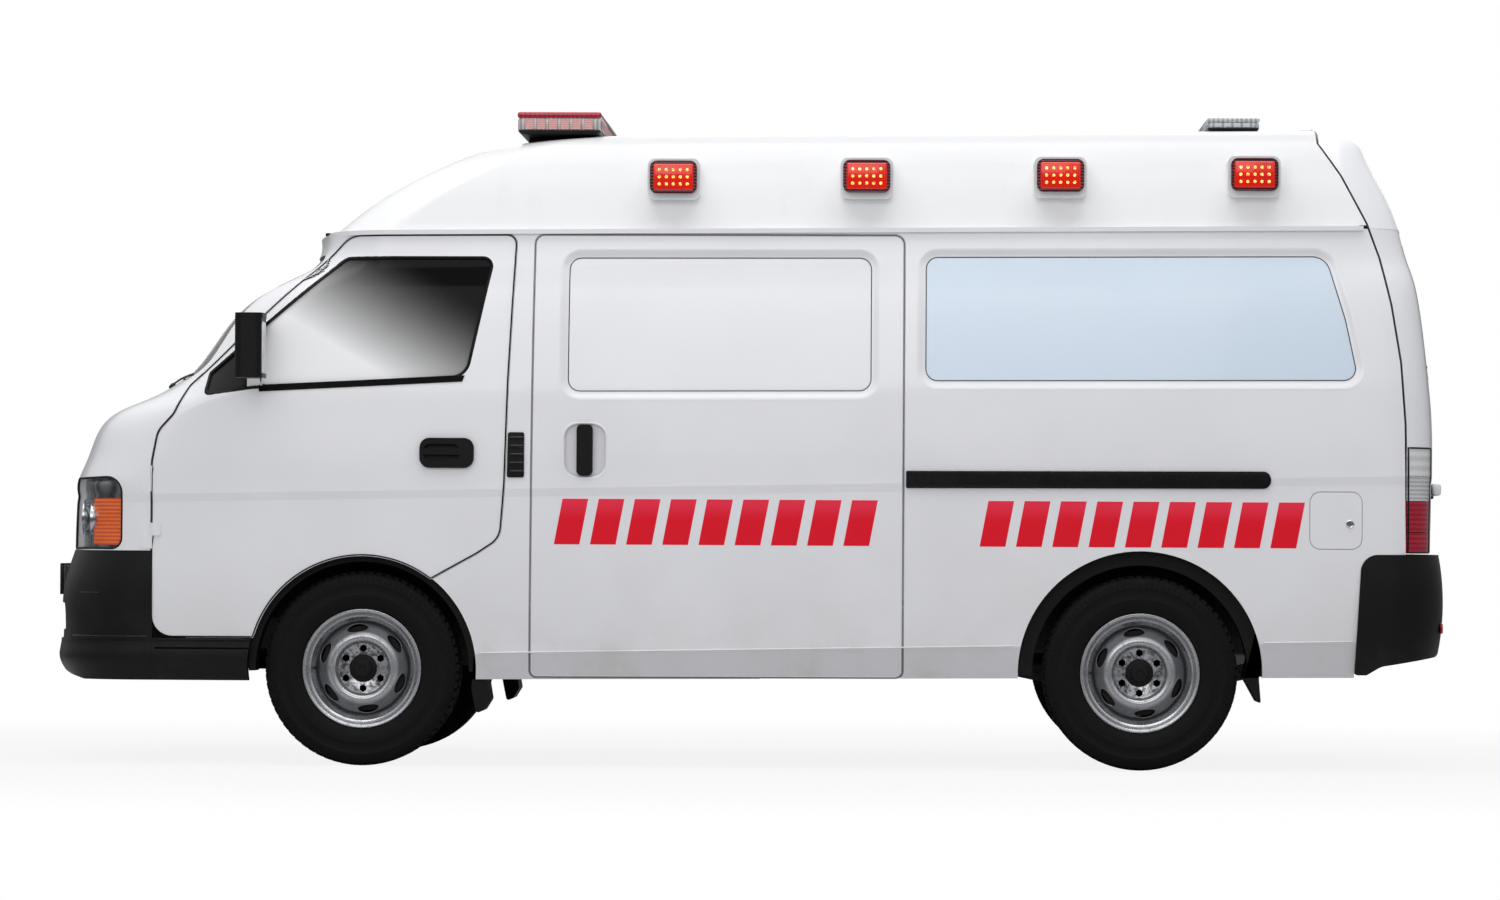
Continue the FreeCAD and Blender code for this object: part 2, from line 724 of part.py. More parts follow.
rail_outline = [
    (nose + 3055 + gap, 980, 5),
    (tail - 660, 984, 28),
    (tail - 660, 1044, 28),
    (nose + 3055 + gap, 1040, 5),
]
rail = body(9).cut(body(dim.seat_gap)).common(left(rail_outline))
rail_slot = [(x, z + (12 if z < 1010 else -12), 8) for x, z, r in rail_outline]
rail = rail.cut(prism(rail_slot, -(side + 40), -(side + 4)))
node("slide_rail", rail)

vent_outline = [
    (nose + 1663 + gap, 1010, 8),
    (nose + 1731, 1010, 8),
    (nose + 1731, 1168, 8),
    (nose + 1666 + gap, 1168, 8),
]
vent = body(5).cut(body(dim.seat_gap)).common(left(vent_outline))
node("side_vents", both(vent))

# ---- wheels ----

def sketch_profile(part, plane_role, points):
    """Closed sketch on an origin plane; each corner is held by two expressions."""
    plane = [f for f in part.Origin.OriginFeatures if f.Role == plane_role][0]
    sketch = part.newObject("Sketcher::SketchObject", part.Name + "_profile")
    sketch.AttachmentSupport = [(plane, "")]
    sketch.MapMode = "FlatFace"
    values = [(evaluate(u), evaluate(v)) for u, v in points]
    count = len(points)
    for i in range(count):
        a, b = values[i], values[(i + 1) % count]
        sketch.addGeometry(Part.LineSegment(Vector(a[0], a[1], 0), Vector(b[0], b[1], 0)), False)
    for i in range(count):
        sketch.addConstraint(Sketcher.Constraint("Coincident", i, 2, (i + 1) % count, 1))
    for i, (u, v) in enumerate(points):
        for kind, value, text in (("DistanceX", values[i][0], u), ("DistanceY", values[i][1], v)):
            index = sketch.addConstraint(Sketcher.Constraint(kind, -1, 1, i, 1, value))
            sketch.setExpression("Constraints[%d]" % index, text)
    return sketch


def evaluate(text):
    return float(sheet.evalExpression(text))


def rim(name):
    part = doc.addObject("PartDesign::Body", name)
    half = "sizes.rim_width / 2"
    disc_profile = [
        ("sizes.rim_radius", half),
        ("sizes.rim_radius", half + " - 6"),
        ("sizes.rim_radius - 12", half + " - 10"),
        ("sizes.rim_radius - 18", half + " - 24"),
        ("sizes.rim_radius - 36", half + " - 46"),
        ("sizes.rim_radius - 36", "-(" + half + " - 56)"),
        ("sizes.rim_radius - 18", "-(" + half + " - 24)"),
        ("sizes.rim_radius - 12", "-(" + half + " - 10)"),
        ("sizes.rim_radius", "-(" + half + " - 6)"),
        ("sizes.rim_radius", "-" + half),
        ("sizes.rim_radius - 8", "-" + half),
        ("sizes.rim_radius - 22", "-(" + half + " - 18)"),
        ("sizes.rim_radius - 43", "-(" + half + " - 52)"),
        ("sizes.rim_radius - 43", half + " - 66"),
        ("sizes.vent_circle / 2 - 8", half + " - 48"),
        ("sizes.vent_circle / 2 - 36", half + " - 38"),
        ("sizes.bolt_circle / 2 + 22", half + " - 60"),
        ("0", half + " - 60"),
        ("0", half + " - 50"),
        ("sizes.bolt_circle / 2 + 22", half + " - 50"),
        ("sizes.vent_circle / 2 - 34", half + " - 28"),
        ("sizes.vent_circle / 2 - 6", half + " - 40"),
        ("sizes.rim_radius - 43", half + " - 50"),
        ("sizes.rim_radius - 24", half + " - 20"),
        ("sizes.rim_radius - 8", half),
    ]
    sketch = sketch_profile(part, "XY_Plane", disc_profile)
    turn = part.newObject("PartDesign::Revolution", name + "_turn")
    turn.Profile = sketch
    turn.ReferenceAxis = (sketch, ["V_Axis"])
    turn.Angle = 360
    doc.recompute()
    vents = [("-39", "sizes.vent_circle / 2 - 14"), ("39", "sizes.vent_circle / 2 - 14"),
             ("30", "sizes.vent_circle / 2 + 13"), ("-30", "sizes.vent_circle / 2 + 13")]
    hole = sketch_profile(part, "XZ_Plane", vents)
    pocket = part.newObject("PartDesign::Pocket", name + "_vent")
    pocket.Profile = hole
    pocket.Type = "Length"
    pocket.Midplane = True
    pocket.setExpression("Length", "sizes.rim_width")
    doc.recompute()
    pattern = part.newObject("PartDesign::PolarPattern", name + "_vents")
    pattern.Originals = [pocket]
    pattern.Axis = (sketch, ["V_Axis"])
    pattern.Angle = 360
    pattern.Occurrences = 6
    part.Tip = pattern
    return part


def tyre(name):
    part = doc.addObject("PartDesign::Body", name)
    flank_y = "sizes.tyre_width / 2"
    flank_low = "sizes.rim_radius + 0.34 * (sizes.tyre_radius - sizes.rim_radius)"
    flank_high = "sizes.tyre_radius - 0.32 * (sizes.tyre_radius - sizes.rim_radius)"
    ring = [
        ("sizes.rim_radius + sizes.seat_gap", "sizes.rim_width / 2 - 4"),
        (flank_low, flank_y),
        (flank_high, flank_y),
        ("sizes.tyre_radius", flank_y + " - 18"),
        ("sizes.tyre_radius", "-(" + flank_y + " - 18)"),
        (flank_high, "-" + flank_y),
        (flank_low, "-" + flank_y),
        ("sizes.rim_radius + sizes.seat_gap", "-(sizes.rim_width / 2 - 4)"),
    ]
    sketch = sketch_profile(part, "XY_Plane", ring)
    turn = part.newObject("PartDesign::Revolution", name + "_turn")
    turn.Profile = sketch
    turn.ReferenceAxis = (sketch, ["V_Axis"])
    turn.Angle = 360
    doc.recompute()
    soft = []
    for i, edge in enumerate(turn.Shape.Edges, 1):
        curve = edge.Curve
        if isinstance(curve, Part.Circle) and curve.Radius > dim.rim_radius + 20:
            soft.append("Edge%d" % i)
    fillet = part.newObject("PartDesign::Fillet", name + "_shoulder")
    fillet.Base = (turn, soft)
    fillet.setExpression("Radius", "min(sizes.tyre_shoulder; 0.25 * (sizes.tyre_radius - sizes.rim_radius))")
    part.Tip = fillet
    return part


wheel_places = [
    ("left_front", front_axle, -1),
    ("right_front", front_axle, 1),
    ("left_rear", rear_axle, -1),
    ("right_rear", rear_axle, 1),
]
for prefix, x, towards in wheel_places:
    for maker, kind in ((rim, "_rim"), (tyre, "_tyre")):
        wheel = maker(prefix + kind)
        wheel.Placement = Placement(Vector(x, towards * dim.track_width / 2, dim.tyre_radius),
                                    Rotation(Vector(0, 0, 1), 0 if towards > 0 else 180))
        node(prefix + kind, wheel)

# ---- steering knuckles, axles and springs ----

front_text = "(-sizes.body_length / 2 + sizes.front_overhang)"
rear_text = "(-sizes.body_length / 2 + sizes.front_overhang + sizes.wheelbase)"
stub_text = "(sizes.track_width / 2 + sizes.rim_width / 2 - 60 - sizes.seat_gap)"  # wheel disc's inner face


def knuckle(name, towards):
    """Stub axle with its flange and the steering pillar."""
    def from_y(low, high):
        return low if towards > 0 else "-(%s)" % high

    stub_low = "sizes.kingpin_y - 20"
    stub_at = (front_text, from_y(stub_low, stub_text), "sizes.tyre_radius")
    stub = bound("Part::Cylinder", name + "_stub", stub_at, True,
                 Radius="sizes.spindle_radius", Height="%s - (%s)" % (stub_text, stub_low))
    flange_at = (front_text, from_y("sizes.kingpin_y + 14", "sizes.kingpin_y + 34"), "sizes.tyre_radius")
    flange = bound("Part::Cylinder", name + "_flange", flange_at, True,
                   Radius="sizes.spindle_radius + 64", Height="20")
    pillar_at = (front_text, "%d * sizes.kingpin_y" % towards, "sizes.tyre_radius - 100")
    pillar = bound("Part::Cylinder", name + "_pillar", pillar_at, Radius="20", Height="200")
    return fused(name, [stub, flange, pillar])


node("right_knuckle", knuckle("right_knuckle", 1))
node("left_knuckle", knuckle("left_knuckle", -1))

rail_y = dim.rail_spacing / 2


def arm_at(z):
    """Control arm: a wishbone from the crossmember to a ball joint over or under the knuckle pillar."""
    outline = [
        (front_axle, dim.kingpin_y + 10),
        (front_axle - 28, dim.kingpin_y - 40),
        (front_axle - 170, rail_y + 34),
        (front_axle + 170, rail_y + 34),
        (front_axle + 28, dim.kingpin_y - 40),
    ]
    wire = Part.makePolygon([Vector(x, y, z) for x, y in outline + outline[:1]])
    return Part.Face(wire).extrude(Vector(0, 0, 22))


low_arm = arm_at(dim.tyre_radius - 100 - 22 - dim.seat_gap)
high_arm = arm_at(dim.tyre_radius + 100 + dim.seat_gap)
tower = block(front_axle - 175, front_axle + 175, rail_y - 20, rail_y + 40,
              dim.tyre_radius - 124, dim.rail_bottom - dim.seat_gap)
top_bracket = block(front_axle - 175, front_axle + 175,
                    rail_y + dim.rail_width / 2 + dim.seat_gap, rail_y + 45,
                    dim.tyre_radius + 100, dim.tyre_radius + 122)
beam = block(front_axle - 60, front_axle + 60, -rail_y, rail_y, dim.tyre_radius - 124, dim.tyre_radius - 60)
suspension = low_arm.fuse(tower)
suspension = suspension.fuse([mirrored(suspension), beam, high_arm.fuse(top_bracket),
                              mirrored(high_arm.fuse(top_bracket))])
node("front_suspension", suspension)

axle_parts = [
    bound("Part::Cylinder", "axle_tube", (rear_text, "-" + stub_text, "sizes.tyre_radius"), True,
          Radius="sizes.axle_radius", Height="2 * " + stub_text),
    bound("Part::Sphere", "differential", (rear_text, "0", "sizes.tyre_radius"), Radius="sizes.diff_radius"),
]
for drum_y in ("-sizes.track_width / 2 + 32", "sizes.track_width / 2 - 84"):
    axle_parts.append(bound("Part::Cylinder", "brake_drum", (rear_text, drum_y, "sizes.tyre_radius"), True,
                            Radius="sizes.drum_radius", Height="52"))
node("rear_axle", fused("rear_axle", axle_parts))


def bow(half_span, z, rise, y):
    ends = [Vector(rear_axle + reach, y, z + rise) for reach in (-half_span, half_span)]
    return Part.Arc(ends[0], Vector(rear_axle, y, z), ends[1]).toShape()


def leaf_spring(y):
    half_span, drop, thickness = 600.0, 95.0, 28.0
    z_mid = dim.tyre_radius - dim.axle_radius - dim.seat_gap - thickness
    low = bow(half_span, z_mid, drop, y)
    high = bow(half_span, z_mid + thickness, drop, y)
    ends = [Part.LineSegment(low.Vertexes[i].Point, high.Vertexes[i].Point).toShape() for i in (0, 1)]
    wire = Part.Wire(Part.sortEdges([low, high] + ends)[0])
    leaf = Part.Face(wire).extrude(Vector(0, 60, 0))
    leaf.translate(Vector(0, -30, 0))
    shackles = [block(x - 20, x + 20, y - 30, y + 30, z_mid + drop - 5, dim.rail_bottom - dim.seat_gap)
                for x in (rear_axle - half_span + 20, rear_axle + half_span - 20)]
    return leaf.fuse(shackles)


node("leaf_springs", both(leaf_spring(rail_y)))

# ---- chassis ----

frame_front = nose + dim.frame_setback
frame_text = "(-sizes.body_length / 2 + sizes.frame_setback)"
frame_end_text = "(sizes.body_length / 2 - sizes.frame_setback)"
frame_parts = []
bores = []
for towards in ("-", ""):
    middle_text = towards + "sizes.rail_spacing / 2"
    edge_text = middle_text + " - sizes.rail_width / 2"
    frame_parts.append(bound(
        "Part::Box", "rail", (frame_text, edge_text, "sizes.rail_bottom"),
        Length="sizes.body_length - 2 * sizes.frame_setback", Width="sizes.rail_width",
        Height="sizes.rail_height"))
    for x_text in (front_text + " + 700", rear_text + " - 700"):
        pad_at = (x_text + " - sizes.pad_length / 2", edge_text, "sizes.rail_bottom - sizes.pad_height")
        frame_parts.append(bound("Part::Box", "jack_pad", pad_at, Length="sizes.pad_length",
                                 Width="sizes.rail_width", Height="sizes.pad_height"))
    for eye_text, web_text in ((frame_text + " - 30", frame_text + " - 30"),
                               (frame_end_text + " + 30", frame_end_text + " - 40")):
        eye_at = (eye_text, middle_text, "sizes.rail_bottom")
        web_at = (web_text, edge_text, "sizes.rail_bottom")
        frame_parts.append(bound("Part::Cylinder", "lashing_eye", eye_at,
                                 Radius="sizes.eye_radius", Height="20"))
        frame_parts.append(bound("Part::Box", "eye_web", web_at,
                                 Length="70", Width="sizes.rail_width", Height="20"))
        bores.append(bound("Part::Cylinder", "eye_bore", eye_at,
                           Radius="sizes.tow_bore", Height="sizes.rail_height"))
member_texts = [
    frame_text,
    front_text + " + 500",
    front_text + " + 1150",
    rear_text + " - 620",
    rear_text + " + 640",
    frame_end_text + " - sizes.member_width",
]
for x_text in member_texts:
    frame_parts.append(bound(
        "Part::Box", "crossmember", (x_text, "-sizes.rail_spacing / 2", "sizes.rail_bottom + 20"),
        Length="sizes.member_width", Width="sizes.rail_spacing", Height="sizes.rail_height - 40"))
frame = cut_by("chassis_frame", fused("frame_parts", frame_parts), fused("eye_bores", bores))
node("chassis_frame", frame)

engine_text = front_text + " - 180"
engine_at = (engine_text, "-sizes.engine_width / 2", "sizes.rail_bottom - 60")
engine_block = bound("Part::Box", "engine_casting", engine_at, Length="sizes.engine_length",
                     Width="sizes.engine_width", Height="sizes.engine_height")
node("engine_block", engine_block)
doc.recompute()
engine = engine_block.Shape

shaft_start = Vector(engine.BoundBox.XMax + dim.seat_gap, 0, dim.rail_bottom - 35)
shaft_end = Vector(rear_axle, 0, dim.tyre_radius)
shaft_run = shaft_end - shaft_start
shaft = Part.makeCylinder(30, shaft_run.Length, shaft_start, shaft_run)
for along in (0.02, 0.46, 0.86):
    shaft = shaft.fuse(Part.makeCylinder(44, 60, shaft_start + shaft_run * along, shaft_run))
shaft = shaft.cut([Part.makeSphere(dim.diff_radius + dim.seat_gap, shaft_end), engine])
shaft = shaft.common(block(shaft_start.x, rear_axle, -80, 80, 0, 800))
node("drive_shaft", shaft)


def tube(points, radius):
    """Pipe of straight runs with ball corners."""
    pieces = []
    for a, b in zip(points, points[1:]):
        pieces.append(Part.makeCylinder(radius, (b - a).Length, a, b - a))
    for corner in points[1:-1]:
        pieces.append(Part.makeSphere(radius, corner))
    return pieces[0].fuse(pieces[1:])


pipe_y, pipe_z, pipe_radius = 225.0, dim.rail_bottom + 125, 24.0
pipe = tube([Vector(shaft_start.x, pipe_y, pipe_z), Vector(rear_axle + 720, pipe_y, pipe_z),
             Vector(rear_axle + 840, pipe_y, 392), Vector(tail - 130, pipe_y, 380)], pipe_radius)
silencer = Part.makeCylinder(74, 420, Vector(rear_axle + 180, pipe_y, pipe_z - 70), Vector(1, 0, 0))
floor_low = dim.floor_height - dim.floor_thickness
hangers = [block(x, x + 20, pipe_y - 12, pipe_y + 12, pipe_z, floor_low - dim.seat_gap)
           for x in (front_axle + 900, rear_axle - 300, rear_axle + 620)]
node("exhaust", pipe.fuse([silencer] + hangers))

tank_y = "-(sizes.rail_spacing / 2 + sizes.rail_width / 2 + sizes.tank_width)"
tank = bound("Part::Box", "tank_shell", (front_text + " + 1250", tank_y, "sizes.rail_bottom - 80"),
             Length="sizes.tank_length", Width="sizes.tank_width - sizes.seat_gap", Height="210")
node("fuel_tank", rounded_along_x("fuel_tank", tank, 40))

# ---- floor with wheel housings and engine cover ----

fixed_walls = block(nose + 1756, tail, -2 * side, 2 * side, 0, 2500)
clear_inside = body(-dim.wall_thickness - gap - 2, 60)
inside = clear_inside.fuse(body(-dim.wall_thickness - dim.seat_gap, 60).common(fixed_walls))


def wheel_housing(x, radius, grow=0.0):
    inner_y = side - dim.housing_depth
    return across(x, dim.tyre_radius, radius + grow, inner_y - grow, 1.2 * side)


floor_slab = inside.common(block(nose + 200, tail - 60, -2 * side, 2 * side, floor_low, dim.floor_height))
cover = block(front_axle - 220, front_axle + 520, -rail_y + 60, rail_y - 60,
              floor_low, dim.floor_height + 110)
houses = []
hollows = []
for x, radius in ((front_axle, front_arch), (rear_axle, rear_arch)):
    house = wheel_housing(x, radius, dim.housing_wall).common(
        block(x - 600, x + 600, 0, 2 * side, dim.rail_bottom + dim.rail_height, 1200)).common(inside)
    houses += [house, mirrored(house)]
    hollow = wheel_housing(x, radius)
    hollows += [hollow, mirrored(hollow)]
cover_hollow = block(front_axle - 200, front_axle + 500, -rail_y + 80, rail_y - 80,
                     floor_low - 10, dim.floor_height + 90)
floor = floor_slab.fuse(houses + [cover]).cut(hollows + [cover_hollow])
node("floor_pan", floor)


def mud_flap(profile):
    """Rubber flap behind a wheel, hung from the floor and clear of the side panel."""
    slab = prism(profile, -(side - 18), -(side - 235))
    return slab.cut([body(dim.seat_gap).cut(body(-dim.wall_thickness - dim.seat_gap, 60)), floor])


front_flap = [
    (front_axle + 383, 268, 0),
    (front_axle + 400, 184, 12),
    (front_axle + 424, 196, 0),
    (front_axle + 447, 233, 10),
    (front_axle + 436, 300, 0),
    (front_axle + 446, 520, 0),
    (front_axle + 400, 520, 0),
]
rear_flap = [
    (rear_axle + 362, 328, 0),
    (rear_axle + 410, 241, 6),
    (rear_axle + 421, 239, 6),
    (rear_axle + 414, 323, 0),
    (rear_axle + 452, 520, 0),
    (rear_axle + 410, 520, 0),
]
guard_outline = [  # flap's outer edge, laid on the side panel behind the rear wheel
    (rear_axle + 373, 545, 0),
    (rear_axle + 410, 501, 30),
    (rear_axle + 460, 350, 8),
    (rear_axle + 417, 327, 0),
    (rear_axle + 405, 420, 0),
]
guard = body(5).cut(body(dim.seat_gap)).common(left(guard_outline)).cut(arches[1])
flaps = [mud_flap(front_flap), mud_flap(rear_flap).fuse(guard)]
node("mudflaps", Part.makeCompound(flaps + [mirrored(flap) for flap in flaps]))

# ---- load space ----

partition_x = nose + 1798
room = inside.fuse(roof(-dim.roof_thickness - dim.seat_gap))
partition = room.common(block(partition_x, partition_x + 20, -2 * side, 2 * side,
                              dim.floor_height + dim.seat_gap, dim.roof_height - 120))
partition = partition.cut(block(partition_x - 50, partition_x + 50, -280, 280,
                                dim.floor_height - 10, 1780))
node("bulkhead", partition)
bench = inside.common(block(partition_x + 400, tail - 520, 0.45 * side, 2 * side,
                            dim.floor_height + dim.seat_gap, 1000))
bench = bench.cut(across(rear_axle, dim.tyre_radius, rear_arch + dim.housing_wall + dim.seat_gap,
                         0.4 * side, 1.2 * side))
node("side_bench", bench)

# ---- cabin ----

def seat(y):
    half = dim.seat_width / 2
    cushion = block(front_axle - 60, front_axle + 440, y - half, y + half,
                    dim.floor_height + 160, dim.floor_height + 300)
    profile = [
        (front_axle + 380, dim.floor_height + 300, 0),
        (front_axle + 500, dim.floor_height + 290, 40),
        (front_axle + 620, dim.floor_height + 860, 60),
        (front_axle + 500, dim.floor_height + 870, 60),
    ]
    back = prism(profile, y - half, y + half)
    base = block(front_axle + 20, front_axle + 400, y - half + 60, y + half - 60,
                 dim.floor_height + dim.seat_gap, dim.floor_height + 162)
    inner_y = side - dim.housing_depth - dim.housing_wall - dim.seat_gap
    base = base.cut([
        across(front_axle, dim.tyre_radius, front_arch + dim.housing_wall + dim.seat_gap,
               inner_y, 1.2 * side),
        block(front_axle - 300, front_axle + 520 + dim.seat_gap, 0, rail_y - 60 + dim.seat_gap, 0,
              dim.floor_height + 110 + dim.seat_gap)])
    return cushion.fuse([back, base])


node("front_seats", both(seat(0.47 * side)))
beside_nose = block(nose, door_x - gap - 2, -2 * side, 2 * side, 0, 2500)
dash_space = clear_inside.fuse(body(-dim.wall_thickness - dim.seat_gap, 60).common(beside_nose))
dashboard = dash_space.common(
    block(nose + 130, nose + 560, -2 * side, 2 * side, dim.floor_height + 240, 1290))
dashboard = dashboard.cut([
    block(nose + 330, nose + 700, -0.3 * side, 0.3 * side, 0, 1080),
    block(nose + 330, nose + 600, -side, side, 0, 1010)])
wheel_centre = Vector(nose + 745, 0.47 * side, 1130)
ring = Part.makeTorus(180, 15, Vector(0, 0, 0), Vector(0, 0, 1))
hub = Part.makeCylinder(38, 30, Vector(0, 0, -20))
spokes = [Part.makeBox(180, 24, 10, Vector(0, -12, -5)) for _ in range(3)]
for i, spoke in enumerate(spokes):
    spoke.rotate(Vector(0, 0, 0), Vector(0, 0, 1), 90 + 120 * i)
column = Part.makeCylinder(22, 800, Vector(0, 0, -810))
steering = ring.fuse([hub, column] + spokes)
steering.Placement = Placement(wheel_centre, Rotation(Vector(0, 1, 0), 35))
below_floor = block(nose, tail, -side, side, 0, dim.floor_height + dim.seat_gap)
node("dashboard", dashboard)
node("steering_wheel", steering.cut(below_floor))

# ---- checks and export ----

print("tailgate hinge line: x %.2f, z %.2f" % (gate_pin_x, gate_pin_z))

doc.recompute()
for part in doc.Objects:
    bad = [s for s in part.State if s in ("Invalid", "Error")]
    if bad:
        raise RuntimeError("%s is %s" % (part.Label, bad))
for part in nodes:
    if part.Shape.isNull() or not part.Shape.isValid():
        raise RuntimeError("%s has no valid shape" % part.Label)
os.makedirs("parts", exist_ok=True)
for part in nodes:
    part.Shape.exportStep("parts/%s.step" % part.Label)
    print("%-24s %2d solids %3d faces %8.4f m3" % (
        part.Label, len(part.Shape.Solids), len(part.Shape.Faces), part.Shape.Volume / 1e9))
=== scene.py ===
import bpy
import bmesh
import json
import math
from mathutils import Matrix, Vector
from mathutils.bvhtree import BVHTree

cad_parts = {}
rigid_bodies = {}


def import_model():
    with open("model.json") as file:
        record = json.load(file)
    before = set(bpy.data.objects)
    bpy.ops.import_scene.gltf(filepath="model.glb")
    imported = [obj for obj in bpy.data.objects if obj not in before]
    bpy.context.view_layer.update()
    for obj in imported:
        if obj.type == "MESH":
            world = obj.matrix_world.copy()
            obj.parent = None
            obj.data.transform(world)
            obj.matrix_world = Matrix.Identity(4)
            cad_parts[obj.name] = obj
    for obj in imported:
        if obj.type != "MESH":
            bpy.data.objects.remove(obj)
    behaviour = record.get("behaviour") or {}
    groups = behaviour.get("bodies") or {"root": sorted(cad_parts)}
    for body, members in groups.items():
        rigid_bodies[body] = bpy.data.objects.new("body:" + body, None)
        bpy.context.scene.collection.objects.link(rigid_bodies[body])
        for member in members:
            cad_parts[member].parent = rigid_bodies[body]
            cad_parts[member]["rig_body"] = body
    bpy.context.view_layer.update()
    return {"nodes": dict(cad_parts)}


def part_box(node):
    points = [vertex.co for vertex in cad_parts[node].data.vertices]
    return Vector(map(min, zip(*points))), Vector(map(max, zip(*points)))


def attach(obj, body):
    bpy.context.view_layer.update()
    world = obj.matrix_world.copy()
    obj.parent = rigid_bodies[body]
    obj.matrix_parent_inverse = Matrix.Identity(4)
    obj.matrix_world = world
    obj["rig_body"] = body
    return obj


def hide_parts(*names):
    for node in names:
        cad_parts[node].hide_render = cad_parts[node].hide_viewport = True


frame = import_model()
parts = frame["nodes"]
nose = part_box("front_bumper")[0].x
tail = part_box("rear_bumper")[1].x
frontTyre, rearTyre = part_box("left_front_tyre"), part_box("left_rear_tyre")
frontAxle = (frontTyre[0].x + frontTyre[1].x) / 2
rearAxle = (rearTyre[0].x + rearTyre[1].x) / 2
tyreRadius = (frontTyre[1].x - frontTyre[0].x) / 2
archGap = {"front": 0.060, "rear": 0.085}      # from a tyre to the edge of its arch
archReach = {end: tyreRadius + gap for end, gap in archGap.items()}
sillEdge = {"level": 0.4146, "climb": 0.0189, "sillShadeLow": 0.407, "radius": 0.0028,
            "runs": ((-0.945, 0.945), (1.815, 2.120))}
print("frame loaded:", len(parts), "parts")


def linked(name, data):                # a new object in the scene
    made = bpy.data.objects.new(name, data)
    bpy.context.scene.collection.objects.link(made)
    return made


# camera first, so that everything is built for its view
cameraSet = {
    "place": (0.546, -18.85, 0.80),
    "aim": (0.024, -0.845, 1.110),
    "lens": 124.1,
    "roll": 0.32,
    "sensor": 36,
    "farthest": 200,
}
camera = linked("camera", bpy.data.cameras.new("camera"))
camera.data.lens = cameraSet["lens"]
camera.data.sensor_width = cameraSet["sensor"]
camera.data.clip_end = cameraSet["farthest"]
camera.location = cameraSet["place"]
look = (Vector(cameraSet["aim"]) - camera.location).to_track_quat("-Z", "Y").to_matrix().to_4x4()
look = look @ Matrix.Rotation(math.radians(cameraSet["roll"]), 4, "Z")
camera.rotation_euler = look.to_euler()
bpy.context.scene.camera = camera
bpy.context.scene.view_settings.view_transform = "Standard"


class Wire:                            # a socket that takes part in plain arithmetic
    def __init__(self, tree, socket):
        self.tree = tree
        self.socket = socket

    def math(self, operation, *others):
        return self.tree.math(operation, self, *others)

    def __add__(self, other):
        return self.math("ADD", other)

    def __sub__(self, other):
        return self.math("SUBTRACT", other)

    def __rsub__(self, other):
        return self.tree.math("SUBTRACT", other, self)

    def __mul__(self, other):
        return self.math("MULTIPLY", other)

    def __truediv__(self, other):
        return self.math("DIVIDE", other)

    __radd__, __rmul__ = __add__, __mul__

    def wave(self):                    # a sine wave between 0 and 1
        return self.math("SINE") * 0.5 + 0.5

    def ease(self, low, high):         # 0 below low, 1 above high, soft between
        return self.tree.add("ShaderNodeMapRange", {"interpolation_type": "SMOOTHSTEP"},
                             {"Value": self, "From Min": low, "From Max": high})


class Tree:                            # adds nodes and joins them
    def __init__(self, tree):
        self.tree = tree

    def math(self, operation, *values):
        return self.add("ShaderNodeMath", {"operation": operation}, list(values))

    def axes(self, vector):
        made = self.tree.nodes.new("ShaderNodeSeparateXYZ")
        self.tree.links.new(vector.socket, made.inputs[0])
        return [Wire(self, socket) for socket in made.outputs]

    def surface(self, kind, shader):   # the tree's own output
        made = self.tree.nodes.new(kind)
        self.tree.links.new(shader, made.inputs["Surface"])

    def add(self, kind, settings=None, values=None, out=0):
        made = self.tree.nodes.new(kind)
        for key, value in (settings or {}).items():
            setattr(made, key, value)
        pairs = values.items() if isinstance(values, dict) else enumerate(values or [])
        for key, value in pairs:
            if isinstance(value, Wire):
                self.tree.links.new(value.socket, made.inputs[key])
            elif value is not None:
                made.inputs[key].default_value = value
        return Wire(self, made.outputs[out])


def shade(hexCode):                    # a paint chart colour, as linear light
    values = [int(hexCode[i:i + 2], 16) / 255 for i in (0, 2, 4)]
    return tuple(v / 12.92 if v <= 0.04045 else ((v + 0.055) / 1.055) ** 2.4 for v in values)


class Finish(Tree):                    # one material with its nodes
    def __init__(self, name, slot, **constants):
        self.material = bpy.data.materials.new(name)
        self.material.use_nodes = True
        self.slot = slot
        super().__init__(self.material.node_tree)
        self.tree.nodes.clear()
        self.shader = self.tree.nodes.new("ShaderNodeBsdfPrincipled")
        self.surface("ShaderNodeOutputMaterial", self.shader.outputs[0])
        for key, value in constants.items():
            self.set(key.replace("_", " "), value)
        self.spot = self.add("ShaderNodeTexCoord", out="Object")
        self.x, self.y, self.z = self.axes(self.spot)

    def set(self, key, value):
        if isinstance(value, Wire):
            self.tree.links.new(value.socket, self.shader.inputs[key])
        elif isinstance(value, tuple) and len(value) == 3:
            self.shader.inputs[key].default_value = (*value, 1)
        else:
            self.shader.inputs[key].default_value = value

    def noise(self, scale, detail=3.0, rough=0.5, stretch=None):
        spot = self.spot
        if stretch:
            spot = self.add("ShaderNodeMapping", {}, {"Vector": spot, "Scale": stretch})
        return self.add("ShaderNodeTexNoise", {}, {"Vector": spot, "Scale": scale, "Detail": detail,
                                                   "Roughness": rough}, "Fac")

    def cells(self, scale):            # fine grain, or the facets of a lens
        return self.add("ShaderNodeTexVoronoi", {"feature": "F1"}, {"Vector": self.spot, "Scale": scale},
                        "Distance")

    def blend(self, amount, first, second):   # between wires or paint chart colours
        mixed = self.add("ShaderNodeMix", {"data_type": "RGBA"}, {"Factor": amount}, 2)
        node = mixed.socket.node
        for socket, value in ((node.inputs[6], first), (node.inputs[7], second)):
            if isinstance(value, Wire):
                self.tree.links.new(value.socket, socket)
            else:
                socket.default_value = (*shade(value), 1)
        return mixed

    def bump(self, height, distance, strength=1.0):
        self.set("Normal", self.add("ShaderNodeBump", {}, {"Height": height, "Distance": distance,
                                                          "Strength": strength}))


# finishes: each gives one material, with its noise, roughness and relief

